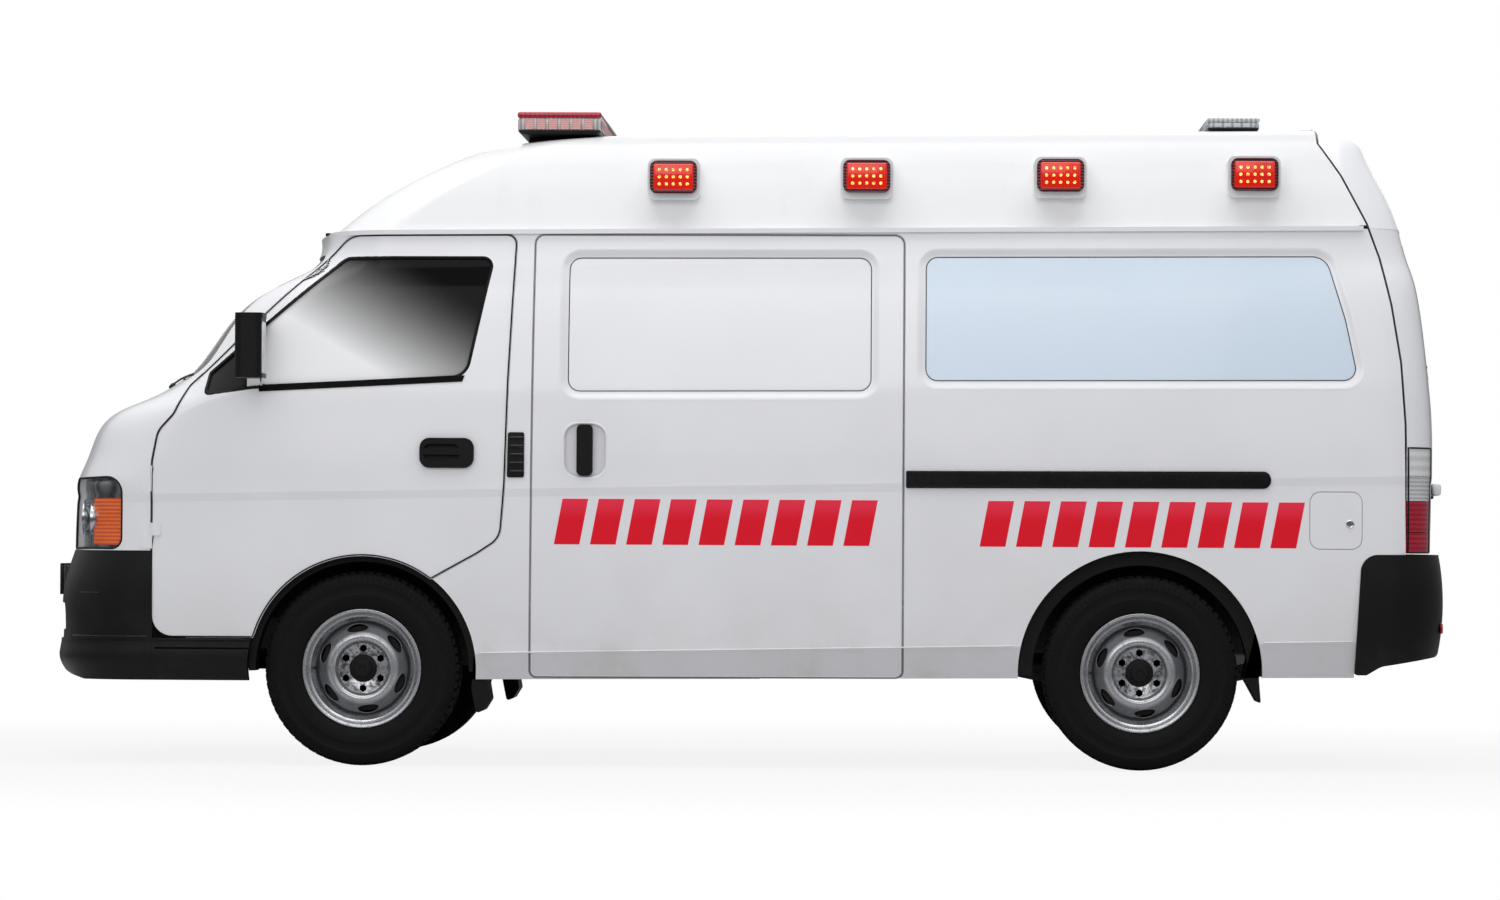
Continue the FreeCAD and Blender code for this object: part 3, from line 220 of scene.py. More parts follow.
def paintedSteel():
    tones = {"paint": "EEEEF1", "shaded": "E8E8EC", "dust": "BDB9B1", "film": "DEDCD9",
             "paintedSillShade": "B4B2B6"}
    f = Finish("whitePaint", "white_paint", Coat_Weight=0.55, Coat_Roughness=0.06)
    cloud = f.noise(2.3, 2)
    fine = f.noise(210, 2)
    sill = (1 - f.z.ease(0.30, 0.52)) * f.noise(6.5, 5, 0.62).ease(0.42, 0.75)
    film = (1 - f.z.ease(0.42, 0.95)) * 0.35 * f.noise(3.2, 4).ease(0.35, 0.7)
    paint = f.blend(cloud.ease(0.35, 0.7) * 0.6, tones["paint"], tones["shaded"])
    paint = f.blend(film, paint, tones["film"])
    # painted shade: the paint is darker below the sill edge, where the sill lies in shade
    clearOfSillShade = (f.z - f.x * sillEdge["climb"]).ease(sillEdge["sillShadeLow"], sillEdge["level"])
    paint = f.blend((1 - clearOfSillShade) * 0.55, paint, tones["paintedSillShade"])
    f.set("Base Color", f.blend(sill * 0.55, paint, tones["dust"]))
    f.set("Roughness", 0.30 + sill * 0.35 + fine * 0.05)
    f.bump(f.noise(340, 1) * 0.6 + f.noise(95, 1) * 0.4, 0.00018, 0.5)
    return f


def mouldedRoof():
    f = Finish("roofPaint", "roof_paint", Coat_Weight=0.35, Coat_Roughness=0.12)
    wave = f.noise(3.1, 2, 0.5, (0.35, 1, 1.6))
    streak = f.noise(8, 4, 0.6, (1, 1, 0.12)).ease(0.55, 0.85)
    gel = f.blend(streak * 0.25, "F0F0F1", "DADADA")
    # painted shade: the roof is greyer towards its top, so that the top stays grey under the overhead light
    f.set("Base Color", f.blend(f.z.ease(2.06, 2.22) * 0.55, gel, "C4C4C6"))
    f.set("Roughness", 0.34 + wave * 0.08)
    f.bump(wave * 0.85 + f.noise(160, 2) * 0.05, 0.0035, 0.5)
    return f


def blackMoulding():
    f = Finish("blackPlastic", "black_plastic", Specular_IOR_Level=0.26)
    grain = f.cells(520)
    worn = f.noise(5.5, 4, 0.6).ease(0.52, 0.8)
    low = 1 - f.z.ease(0.30, 0.5)
    tone = f.blend(worn * 0.4, "09090A", "131315")
    f.set("Base Color", f.blend(low * worn * 0.3, tone, "34322F"))
    f.set("Roughness", 0.40 + worn * 0.16)
    f.bump(grain, 0.0003, 0.55)
    return f


def glossBlack():
    f = Finish("railBlack", "black_plastic", Specular_IOR_Level=0.45)
    f.set("Base Color", f.blend(f.noise(40, 3).ease(0.5, 0.8) * 0.4, "070708", "101012"))
    f.set("Roughness", 0.2 + f.noise(24, 3) * 0.14)
    f.bump(f.noise(260, 2), 0.0002, 0.3)
    return f


def doorWindow():
    # painted reflection: the colour goes from clear white low in front to black high at the back, in place of
    # what the glass would reflect
    tint = {"along": 0.518, "up": 0.855, "clear": 0.515, "reach": 0.400, "bend": 2.2}
    f = Finish("clearGlass", "clear_glass", IOR=1.5, Specular_IOR_Level=0.08)
    level = (f.x * tint["along"] + f.z * tint["up"] - tint["clear"]) / tint["reach"]
    level = f.add("ShaderNodeClamp", {}, {"Value": level + f.noise(2.2, 2) * 0.04 - 0.02})
    dark = 1 - (1 - level).math("POWER", tint["bend"])
    f.set("Base Color", f.blend(dark, "FEFEFE", "020203"))
    f.set("Roughness", 0.06 + f.noise(30, 3).ease(0.5, 0.8) * 0.05)
    f.set("Alpha", 0.96 + dark * 0.035)
    return f


def windscreenGlass():
    f = Finish("screenGlass", "clear_glass", IOR=1.5)
    shadeBand = f.z.ease(1.68, 1.80)
    f.set("Base Color", f.blend(shadeBand, "26302F", "0B0F10"))
    f.set("Roughness", 0.03 + f.noise(12, 4).ease(0.5, 0.85) * 0.06)
    f.set("Alpha", 0.46 + shadeBand * 0.4)
    return f


def gateWindowGlass():
    f = Finish("gateGlass", "clear_glass", IOR=1.5)
    f.set("Base Color", f.blend(f.noise(3, 2), "1D2426", "11171A"))
    f.set("Roughness", 0.05 + f.noise(9, 4).ease(0.5, 0.85) * 0.08)
    f.set("Alpha", 0.80 + f.noise(3, 2) * 0.02)
    return f


def frostedFilm():
    f = Finish("frostedGlass", "frosted_glass", Coat_Weight=0.35, Coat_Roughness=0.05)
    fade = f.z.ease(1.35, 1.85)
    tone = f.blend(fade, "D4E2F0", "DCE9F5")
    f.set("Base Color", f.blend(f.noise(2.6, 3).ease(0.3, 0.8) * 0.35, tone, "D6E4F2"))
    f.set("Roughness", 0.22 + f.noise(60, 2) * 0.06)
    f.bump(f.noise(700, 1), 0.0001, 0.25)
    return f


def headLampLens():
    f = Finish("headLens", "head_lamp_lens", IOR=1.49, Coat_Weight=0.5, Coat_Roughness=0.03)
    f.set("Base Color", f.blend(f.noise(18, 3).ease(0.4, 0.8) * 0.4, "6E7375", "C9CDCB"))
    f.set("Roughness", 0.05 + f.noise(26, 3).ease(0.5, 0.85) * 0.08)
    f.set("Alpha", 0.05 + f.noise(14, 2) * 0.05)
    return f


def ribbedLens(name, slot, deep, pale, glow, alpha, pitch, axis):
    f = Finish(name, slot, IOR=1.49, Coat_Weight=0.6, Coat_Roughness=0.03)
    ribs = ((f.x if axis == "x" else f.z) * (pitch * 2 * math.pi)).wave()
    cells = f.cells(130)
    tone = f.blend(ribs * 0.55 + cells * 0.2, deep, pale)
    f.set("Base Color", tone)
    f.set("Roughness", 0.08 + ribs * 0.08)
    if alpha < 1:
        f.set("Alpha", alpha + ribs * 0.08)
    if glow:
        f.set("Emission Color", tone)
        f.set("Emission Strength", glow)
    f.bump(ribs * 0.7 + cells * 0.3, 0.0012, 0.5)
    return f


def chromed(name="chrome", slot="head_lamp_lens", tone="C9CCD0", rough=0.10):
    f = Finish(name, slot, Metallic=1.0)
    f.set("Base Color", f.blend(f.noise(22, 3).ease(0.4, 0.8), tone, "9DA0A4"))
    f.set("Roughness", rough + f.noise(45, 3) * 0.08)
    f.bump(f.noise(120, 2), 0.0002, 0.3)
    return f


def flutedChrome():                    # reflector with upright flutes behind the lens
    f = Finish("flutedChrome", "head_lamp_lens", Metallic=1.0)
    flutes = (f.y * 420 + f.x * 420).wave()
    f.set("Base Color", f.blend(flutes, "4E5154", "CFD2D5"))
    f.set("Roughness", 0.14 + f.noise(50, 3) * 0.1)
    f.bump(flutes, 0.0015, 0.6)
    return f


def silverWheel():
    # painted shade: bright on the rim and on the raised ring, darker where the vents and the nuts are, on the
    # ring's slope and on the nut plate
    bands = {"nutPlateShade": (0.083, 0.090), "slopeShadeFrom": (0.118, 0.130), "slopeShadeTo": (0.164, 0.169)}
    f = Finish("wheelSteel", "wheel_steel", Coat_Weight=0.1, Coat_Roughness=0.2)
    front = 1 - f.x.ease(-0.01, 0.01)
    across = f.x - (front * frontAxle + (1 - front) * rearAxle)
    up = f.z - tyreRadius
    reach = (across * across + up * up).math("SQRT")
    hub = 1 - reach.ease(*bands["nutPlateShade"])
    slope = reach.ease(*bands["slopeShadeFrom"]) * (1 - reach.ease(*bands["slopeShadeTo"]))
    grime = f.noise(38, 5, 0.62).ease(0.5, 0.78)
    hubShadeMottle = f.noise(52, 4, 0.7).ease(0.42, 0.62)
    # painted shade on the slope round the vents and, in mottled patches, on the nut plate
    tone = f.blend(slope * 0.75, "B4B5B8", "5E5F62")
    tone = f.blend(hub * hubShadeMottle * 0.9, tone, "3C3A3A")
    f.set("Base Color", f.blend(grime * 0.4, tone, "4D4A46"))
    f.set("Metallic", 0.80 - grime * 0.3)
    f.set("Roughness", 0.27 + grime * 0.25 + slope * 0.1)
    f.bump(f.noise(300, 2) * 0.3 + f.noise(45, 2) * 0.7, 0.0005, 0.3)
    return f


def tyreRubber():
    f = Finish("tyreRubber", "tyre", Specular_IOR_Level=0.16)
    dust = f.noise(26, 5, 0.6).ease(0.45, 0.8)
    f.set("Base Color", f.blend(dust * 0.4, "0A0A0B", "191817"))
    f.set("Roughness", 0.66 + dust * 0.2)
    f.bump(f.noise(330, 3), 0.0005, 0.5)
    return f


def darkRubber(name="flapRubber", slot="flap_rubber", tone="0B0B0C", pale="1A1918"):
    f = Finish(name, slot, Specular_IOR_Level=0.2)
    dust = f.noise(14, 5, 0.6).ease(0.45, 0.8)
    f.set("Base Color", f.blend(dust * 0.6, tone, pale))
    f.set("Roughness", 0.55 + dust * 0.25)
    f.bump(f.noise(240, 2), 0.0005, 0.5)
    return f


def underbody(name, slot, tone, pale, metallic, rough):
    f = Finish(name, slot)
    mud = f.noise(7, 6, 0.62).ease(0.42, 0.72)
    rust = f.noise(33, 4, 0.7).ease(0.62, 0.82)
    base = f.blend(mud * 0.7, tone, pale)
    f.set("Base Color", f.blend(rust * 0.55, base, "5C3A25"))
    f.set("Metallic", metallic - mud * metallic)
    f.set("Roughness", rough + mud * 0.25)
    f.bump(f.noise(85, 5, 0.6), 0.0012, 0.6)
    return f


def vinylFloor():
    # speckled vinyl above; black undercoat under the floor and inside the wheel housings
    f = Finish("floorLining", "floor_lining")
    fleck = f.noise(260, 1).ease(0.58, 0.66)
    under = 1 - f.z.ease(0.585, 0.592)
    for axle, reach in ((frontAxle, archReach["front"]), (rearAxle, archReach["rear"])):
        along, up = f.x - axle, f.z - tyreRadius
        away = (along * along + up * up).math("SQRT")
        under = under.math("MAXIMUM", 1 - away.ease(reach + 0.004, reach + 0.008))
    vinyl = f.blend(fleck * 0.7, "8B9094", "C3C6C8")
    coat = f.blend(f.noise(11, 4).ease(0.4, 0.75) * 0.6, "0B0B0C", "23211F")
    f.set("Base Color", f.blend(under, vinyl, coat))
    f.set("Roughness", 0.5 + f.noise(20, 3) * 0.15 + under * 0.25)
    f.bump(f.cells(260), 0.0006, 0.4)
    return f


def cabPlastic(name="interiorPlastic", tone="6E7073", pale="7E8083"):
    f = Finish(name, "interior_plastic", Specular_IOR_Level=0.4)
    f.set("Base Color", f.blend(f.noise(8, 4).ease(0.3, 0.7), tone, pale))
    f.set("Roughness", 0.55 + f.noise(40, 3) * 0.1)
    f.bump(f.cells(620), 0.0004, 0.6)
    return f


def wovenSeat():
    scale, tone, pale = 900.0, "3C4148", "565C64"
    f = Finish("seatFabric", "seat_fabric", Sheen_Weight=0.35, Sheen_Roughness=0.5, Specular_IOR_Level=0.2)
    across = (f.x * scale).math("SINE") * (f.z * scale + f.y * scale).math("SINE")
    weave = across * 0.5 + 0.5
    fleck = f.noise(420, 2)
    f.set("Base Color", f.blend(weave * 0.5 + fleck * 0.4, tone, pale))
    f.set("Roughness", 0.85 + fleck * 0.1)
    f.bump(weave * 0.7 + fleck * 0.3, 0.0006, 0.6)
    return f


def vinylPad():
    f = Finish("padVinyl", "seat_fabric", Coat_Weight=0.15, Coat_Roughness=0.3)
    f.set("Base Color", f.blend(f.noise(7, 4).ease(0.35, 0.7), "24466B", "2E5580"))
    f.set("Roughness", 0.38 + f.noise(50, 3) * 0.12)
    f.bump(f.cells(420), 0.0005, 0.5)
    return f


def redFilm():
    f = Finish("redFilm", "white_paint", Coat_Weight=0.2, Coat_Roughness=0.2)
    tone = f.blend(f.z.ease(0.86, 0.93), "D80C2A", "DE3350")
    f.set("Base Color", tone)
    # painted light: the film glows a little, though it is no lamp, so that its red reads brighter
    f.set("Emission Color", tone)
    f.set("Emission Strength", 0.28)
    f.set("Roughness", 0.28 + f.noise(70, 3) * 0.08)
    f.bump(f.noise(240, 2), 0.0001, 0.3)
    return f


def plainPlate():
    f = Finish("plateWhite", "white_paint", Coat_Weight=0.2)
    f.set("Base Color", f.blend(f.noise(12, 3).ease(0.4, 0.8) * 0.4, "E4E4E0", "C8C6BF"))
    f.set("Roughness", 0.4 + f.noise(30, 3) * 0.1)
    f.bump(f.noise(200, 2), 0.0002, 0.3)
    return f


def ledRed():
    f = Finish("ledRed", "roof_lamp_lens", Emission_Strength=1.5)
    sparkle = f.noise(220, 2).ease(0.35, 0.65)
    tone = f.blend(sparkle, "FF5A10", "FFE070")
    f.set("Base Color", tone)
    f.set("Emission Color", tone)
    f.set("Roughness", 0.3 + sparkle * 0.1)
    return f


lensFinishes = {  # slot, deep and pale colour, glow, alpha, ribs a metre, axis across the ribs
    "barClear": ("light_bar_lens", "8F8F90", "E6DEDC", 0.0, 0.86, 70, "x"),
    "barRed": ("light_bar_lens", "8E0A1E", "C8203C", 0.0, 1.0, 60, "x"),
    "barGrey": ("light_bar_lens", "8D9296", "DADDDF", 0.0, 0.9, 60, "x"),
    "lampRed": ("tail_lamp_lens", "8A0C22", "C42440", 0.0, 1.0, 60, "z"),
    "lampClear": ("tail_lamp_lens", "A9A9AB", "E9E9EA", 0.0, 1.0, 70, "z"),
    "lampAmber": ("head_lamp_lens", "CE3406", "FF861A", 0.16, 1.0, 75, "z"),
    "roofRed": ("roof_lamp_lens", "B80A0A", "E8200C", 0.35, 1.0, 150, "x"),
    "bezelRed": ("roof_lamp_lens", "3A0408", "5E0A10", 0.0, 1.0, 90, "z"),
    "barRose": ("light_bar_lens", "C98A86", "E9BDB6", 0.0, 1.0, 120, "z"),
    "barPale": ("light_bar_lens", "B4B8BA", "DCDFE0", 0.0, 1.0, 120, "z"),
    "lampFrost": ("tail_lamp_lens", "C9CACB", "F1F1F0", 0.0, 1.0, 30, "z"),
}
finishes = {name: ribbedLens(name, *row) for name, row in lensFinishes.items()}
finishes.update({
    "whitePaint": paintedSteel(),
    "roofPaint": mouldedRoof(),
    "blackPlastic": blackMoulding(),
    "railBlack": glossBlack(),
    "doorGlass": doorWindow(),
    "screenGlass": windscreenGlass(),
    "gateGlass": gateWindowGlass(),
    "frostedGlass": frostedFilm(),
    "headLens": headLampLens(),
    "ledRed": ledRed(),
    "darkDrum": underbody("darkDrum", "cast_iron", "0E0E0F", "2A2724", 0.3, 0.6),
    "lineBrown": darkRubber("lineBrown", "clear_glass", "4A2E1E", "6A4630"),
    "flutedChrome": flutedChrome(),
    "seatPiping": darkRubber("seatPiping", "seat_fabric", "15171A", "24272B"),
    "lampOutline": darkRubber("lampOutline", "black_plastic", "1C1C1D", "303030"),
    "chrome": chromed(),
    "zinc": chromed("zincPlate", "wheel_steel", "C4C4C0", 0.38),
    "mirrorGlass": chromed("mirrorGlass", "clear_glass", "E0E4E8", 0.02),
    "wheelSteel": silverWheel(),
    "tyre": tyreRubber(),
    "flapRubber": darkRubber(),
    "sealRubber": darkRubber("sealRubber", "black_plastic", "0E0E0F", "1B1B1C"),
    "chassisPaint": underbody("chassisPaint", "chassis_paint", "1B1C1D", "4B4640", 0.2, 0.5),
    "castIron": underbody("castIron", "cast_iron", "3A3A3B", "5B534A", 0.6, 0.55),
    "exhaustSteel": underbody("exhaustSteel", "exhaust_steel", "7C7870", "6A5A48", 0.9, 0.42),
    "floorLining": vinylFloor(),
    "interiorPlastic": cabPlastic(),
    "darkTrim": cabPlastic("cabTrim", "2B2C2E", "37383A"),
    "paleTrim": cabPlastic("paleTrim", "B9BBBC", "C9CBCC"),
    "seatFabric": wovenSeat(),
    "padVinyl": vinylPad(),
    "redFilm": redFilm(),
    "plate": plainPlate(),
})
print("finishes made:", len(finishes))


# making and placing pieces

def place(name, mesh, finish, body, *replaced):
    piece = linked(name, mesh)
    mesh.materials.clear()
    mesh.materials.append(finishes[finish].material)
    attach(piece, body)
    if replaced:
        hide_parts(*replaced)
    return piece


def toMesh(bm):
    mesh = bpy.data.meshes.new("piece")
    bm.to_mesh(mesh)
    bm.free()
    return mesh


def softEdges(bm, angle, crease=None):
    limit = math.radians(angle)
    for face in bm.faces:
        face.smooth = True
    for edge in bm.edges:
        edge.smooth = len(edge.link_faces) == 2 and edge.calc_face_angle(0) < limit
        if crease and crease(edge):
            edge.smooth = False
    return bm


def solid(bm, angle=40.0, crease=None):
    return toMesh(softEdges(bm, angle, crease))


def facedOut(bm):
    bmesh.ops.recalc_face_normals(bm, faces=bm.faces)
    return bm


def band(bm, a, b):                    # faces between two closed rows of corners
    for i in range(len(a)):
        j = (i + 1) % len(a)
        bm.faces.new((a[i], a[j], b[j], b[i]))


def openEdges(bm):
    return [e for e in bm.edges if len(e.link_faces) == 1]


def merged(node):                      # a CAD part's triangles, joined again
    bm = bmesh.new()
    bm.from_mesh(parts[node].data)
    bmesh.ops.remove_doubles(bm, verts=bm.verts, dist=2e-5)
    return bm


def waistLine(edge):                   # the crease band keeps its two sharp edges
    a, b = edge.verts[0].co, edge.verts[1].co
    level = abs(a.z - b.z) < 0.03 * (a - b).length + 1e-5
    steep = len(edge.link_faces) == 2 and edge.calc_face_angle(0) > math.radians(6)
    return level and steep and 0.90 < a.z < 1.05


def dressed(node, finish, angle, crease=None):
    mesh = solid(merged(node), angle, crease)
    return place(node + "_skin", mesh, finish, parts[node]["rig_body"], node)


def skinOf(node, direction, limit, keep=None):   # only the faces that look one way
    bm = merged(node)
    direction = Vector(direction).normalized()
    away = [f for f in bm.faces
            if f.normal.dot(direction) < limit or (keep and not keep(f.calc_center_median()))]
    bmesh.ops.delete(bm, geom=away, context="FACES")
    return bm


def trimmed(bm, axis, level, sign):    # cuts off what lies beyond a level, on the side of the sign
    point, normal = Vector((0, 0, 0)), Vector((0, 0, 0))
    point[axis], normal[axis] = level, sign
    bmesh.ops.bisect_plane(bm, geom=bm.verts[:] + bm.edges[:] + bm.faces[:], plane_co=point,
                           plane_no=normal, clear_outer=True)
    return bm


def sliced(bm, axis, low, high):
    return trimmed(trimmed(bm, axis, low, -1), axis, high, 1)


def thickened(bm, inset, thickness):   # moves a skin inwards and gives it a wall
    bm.normal_update()
    for vert, normal in [(v, v.normal.copy()) for v in bm.verts]:
        vert.co -= normal * inset
    bm.normal_update()
    bmesh.ops.solidify(bm, geom=bm.faces[:], thickness=thickness)
    return bm


def loopsOf(bm):                       # ordered border loops of an open skin
    border = openEdges(bm)
    links = {}
    for edge in border:
        for vert in edge.verts:
            links.setdefault(vert, []).append(edge)
    loops, used = [], set()
    for start in border:
        if start in used:
            continue
        used.add(start)
        loop, vert = [start.verts[0].co.copy()], start.verts[1]
        while vert is not start.verts[0]:
            loop.append(vert.co.copy())
            ahead = [e for e in links[vert] if e not in used]
            if not ahead:
                break
            used.add(ahead[0])
            vert = ahead[0].other_vert(vert)
        loops.append(loop)
    return sorted(loops, key=len, reverse=True)


def thinned(loop, spacing):            # leaves out points that follow too closely
    points = [loop[0]]
    for point in loop[1:]:
        if (point - points[-1]).length > spacing:
            points.append(point)
    return points


def mirrorMesh(mesh):
    other = mesh.copy()
    other.transform(Matrix.Scale(-1, 4, (0, 1, 0)))
    other.flip_normals()
    return other


def roundedBox(low, high, radius, segments=3, axes=(0, 1, 2)):
    bm = bmesh.new()
    bmesh.ops.create_cube(bm, size=1)
    low, high = Vector(low), Vector(high)
    for vert in bm.verts:
        vert.co = Vector((low[i] + (vert.co[i] + 0.5) * (high[i] - low[i])) for i in range(3))
    chosen = [e for e in bm.edges
              if max(range(3), key=lambda i: abs(e.verts[0].co[i] - e.verts[1].co[i])) in axes]
    bmesh.ops.bevel(bm, geom=chosen, offset=radius, segments=segments, profile=0.5, affect="EDGES")
    return bm


def addBox(bm, *shape):
    extra = toMesh(roundedBox(*shape))
    bm.from_mesh(extra)
    bpy.data.meshes.remove(extra)


def turned(profile, centre, axis=(0, 1, 0), count=48):
    # profile is (distance along the axis, radius); open ends on the axis are closed
    bm = bmesh.new()
    rings = []
    for along, radius in profile:
        if radius < 1e-6:
            rings.append([bm.verts.new((0, along, 0))])
        else:
            rings.append([bm.verts.new((radius * math.cos(2 * math.pi * i / count), along,
                                        radius * math.sin(2 * math.pi * i / count)))
                          for i in range(count)])
    for a, b in zip(rings, rings[1:]):
        if len(a) == len(b) == count:
            band(bm, a, b)
            continue
        for i in range(count if len(a) != len(b) else 0):
            j = (i + 1) % count
            bm.faces.new((a[0], b[j], b[i]) if len(a) == 1 else (a[i], a[j], b[0]))
    facedOut(bm)
    turn = Vector((0, 1, 0)).rotation_difference(Vector(axis)).to_matrix().to_4x4()
    bm.transform(Matrix.Translation(centre) @ turn)
    return bm


def roundedOutline(corners, steps=8):  # (x, z, radius) corners to a closed row of points
    points = []
    count = len(corners)
    for i, (x, z, radius) in enumerate(corners):
        here = Vector((x, z))
        before = Vector(corners[i - 1][:2]) - here
        after = Vector(corners[(i + 1) % count][:2]) - here
        if radius <= 0:
            points.append(here)
            continue
        half = before.angle(after) / 2
        reach = min(radius / math.tan(half), 0.49 * before.length, 0.49 * after.length)
        radius = reach * math.tan(half)
        start, end = here + before.normalized() * reach, here + after.normalized() * reach
        centre = here + (before.normalized() + after.normalized()).normalized() * radius / math.sin(half)
        first, last = start - centre, end - centre
        sweep = first.angle_signed(last)
        for k in range(steps + 1):
            points.append(centre + Matrix.Rotation(-sweep * k / steps, 2) @ first)
    return points


def densified(points, spacing):
    out = []
    for a, b in zip(points, points[1:] + points[:1]):
        pieces = max(1, math.ceil((b - a).length / spacing))
        out += [a.lerp(b, k / pieces) for k in range(pieces)]
    return out


def grown(points, distance):           # moves an outline outwards by a distance
    area = sum(a.x * b.y - b.x * a.y for a, b in zip(points, points[1:] + points[:1]))
    sign = 1 if area > 0 else -1
    out = []
    for i, here in enumerate(points):
        along = (points[(i + 1) % len(points)] - points[i - 1]).normalized()
        out.append(here + Vector((along.y, -along.x)) * distance * sign)
    return out


# what a ray from the left side meets, on the panels alone or with the glass
panelNodes = ["front_panel", "left_front_door", "sliding_door", "left_side_panel", "high_roof",
              "tailgate", "rear_bumper", "front_bumper"]
glassNodes = ["left_door_glass", "rear_side_windows", "left_mirror"]


def treeOf(names):
    corners, faces = [], []
    for name in names:
        mesh = parts[name].data
        shift = len(corners)
        corners += [v.co.copy() for v in mesh.vertices]
        faces += [[i + shift for i in p.vertices] for p in mesh.polygons]
    return BVHTree.FromPolygons(corners, faces)


panelTree = treeOf(panelNodes)
everyTree = treeOf(panelNodes + glassNodes)


def skinAt(x, z, tree=panelTree):
    spot = tree.ray_cast(Vector((x, -2, z)), Vector((0, 1, 0)))[0]
    return spot.y if spot else None


def fromEnd(tree, y, z, end):          # what a ray along X meets first: end is -1 in front, 1 behind
    return tree.ray_cast(Vector((4 * end, y, z)), Vector((-end, 0, 0)))


frontTree = treeOf(["front_panel", "headlamps", "grille", "front_bumper"])


def frontAt(y, z, tree=frontTree):
    spot = fromEnd(tree, y, z, -1)[0]
    return spot.x if spot else None


# trees that grow what repeats, and what follows a path

class Growth(Tree):
    def __init__(self, name, inputs):
        group = bpy.data.node_groups.new(name, "GeometryNodeTree")
        super().__init__(group)
        for way in ("INPUT", "OUTPUT"):
            group.interface.new_socket("Geometry", in_out=way, socket_type="NodeSocketGeometry")
        for label, kind in inputs.items():
            group.interface.new_socket(label, in_out="INPUT", socket_type="NodeSocket" + kind)
        self.start = self.tree.nodes.new("NodeGroupInput")

    def given(self, label):
        return Wire(self, self.start.outputs[label])

    def end(self, geometry):
        real = self.add("GeometryNodeRealizeInstances", {}, {"Geometry": geometry})
        coated = self.add("GeometryNodeSetMaterial", {}, {"Geometry": real, "Material": self.given("Finish")})
        output = self.tree.nodes.new("NodeGroupOutput")
        self.tree.links.new(coated.socket, output.inputs[0])


def ringTree():                        # copies of an item round a circle in the XZ plane
    g = Growth("ringOfItems", {"Item": "Object", "Count": "Int", "Radius": "Float", "Start": "Float",
                               "Finish": "Material"})
    ring = g.add("GeometryNodeMeshCircle", {}, {"Vertices": g.given("Count"), "Radius": g.given("Radius")})
    index = g.add("GeometryNodeInputIndex")
    angle = g.given("Start") + index * (2 * math.pi) / g.given("Count")
    turn = g.add("ShaderNodeCombineXYZ", {}, {"Z": angle})
    item = g.add("GeometryNodeObjectInfo", {}, {"Object": g.given("Item")}, "Geometry")
    turnStart = g.add("ShaderNodeCombineXYZ", {}, {"Z": g.given("Start")})
    spun = g.add("GeometryNodeTransform", {}, {"Geometry": ring, "Rotation": turnStart})
    copies = g.add("GeometryNodeInstanceOnPoints", {}, {"Points": spun, "Instance": item, "Rotation": turn})
    upright = g.add("GeometryNodeTransform", {}, {"Geometry": copies, "Rotation": (math.pi / 2, 0, 0)})
    g.end(upright)
    return g.tree


def rowTree():                         # copies of an item in rows and columns, in the XY plane
    g = Growth("rowsOfItems", {"Item": "Object", "Columns": "Int", "Rows": "Int", "Width": "Float",
                               "Height": "Float", "Finish": "Material"})
    grid = g.add("GeometryNodeMeshGrid", {}, {"Size X": g.given("Width"), "Size Y": g.given("Height"),
                                             "Vertices X": g.given("Columns"), "Vertices Y": g.given("Rows")})
    item = g.add("GeometryNodeObjectInfo", {}, {"Object": g.given("Item")}, "Geometry")
    g.end(g.add("GeometryNodeInstanceOnPoints", {}, {"Points": grid, "Instance": item}))
    return g.tree


def pathTree():                        # a bead or strip along the edges of its base
    g = Growth("beadOnPath", {"Radius": "Float", "Flatness": "Float", "Sides": "Int", "Finish": "Material"})
    path = g.add("GeometryNodeMeshToCurve", {}, {"Mesh": g.given("Geometry")})
    ring = g.add("GeometryNodeCurvePrimitiveCircle", {"mode": "RADIUS"},
                 {"Resolution": g.given("Sides"), "Radius": g.given("Radius")})
    squeeze = g.add("ShaderNodeCombineXYZ", {}, {"X": g.given("Flatness"), "Y": 1.0, "Z": 1.0})
    flat = g.add("GeometryNodeTransform", {}, {"Geometry": ring, "Scale": squeeze})
    swept = g.add("GeometryNodeCurveToMesh", {}, {"Curve": path, "Profile Curve": flat, "Fill Caps": True})
    smooth = g.add("GeometryNodeSetShadeSmooth", {}, {"Geometry": swept})
    g.end(smooth)
    return g.tree


trees = {"ring": ringTree(), "rows": rowTree(), "path": pathTree()}


def grow(kind, name, inputs, base=None):
    # runs one tree on a base mesh and gives back the plain result
    tree = trees[kind]
    carrier = linked(name, base or bpy.data.meshes.new(name))
    modifier = carrier.modifiers.new("grow", "NODES")
    modifier.node_group = tree
    for item in tree.interface.items_tree:
        if item.item_type == "SOCKET" and item.in_out == "INPUT" and item.name in inputs:
            modifier[item.identifier] = inputs[item.name]
    bpy.context.view_layer.update()
    result = carrier.evaluated_get(bpy.context.evaluated_depsgraph_get())
    mesh = bpy.data.meshes.new_from_object(result)
    bpy.data.objects.remove(carrier)
    return mesh


def copies(kind, bm, finish, **inputs):   # many of one item, as one plain mesh
    item = linked("item", toMesh(bm))
    item.hide_render = True
    mesh = grow(kind, "copies", {"Item": item, "Finish": finishes[finish].material, **inputs})
    bpy.data.objects.remove(item)
    return mesh


def bead(points, radius, finish, flat=1.0, closed=True, sides=8):
    base = bpy.data.meshes.new("path")
    last = len(points) if closed else len(points) - 1
    base.from_pydata([tuple(p) for p in points], [(i, (i + 1) % len(points)) for i in range(last)], [])
    return grow("path", "bead", {"Radius": radius, "Flatness": flat, "Sides": sides,
                                 "Finish": finishes[finish].material}, base)


def joined(meshes):
    bm = bmesh.new()
    for mesh in meshes:
        bm.from_mesh(mesh)
    return toMesh(bm)


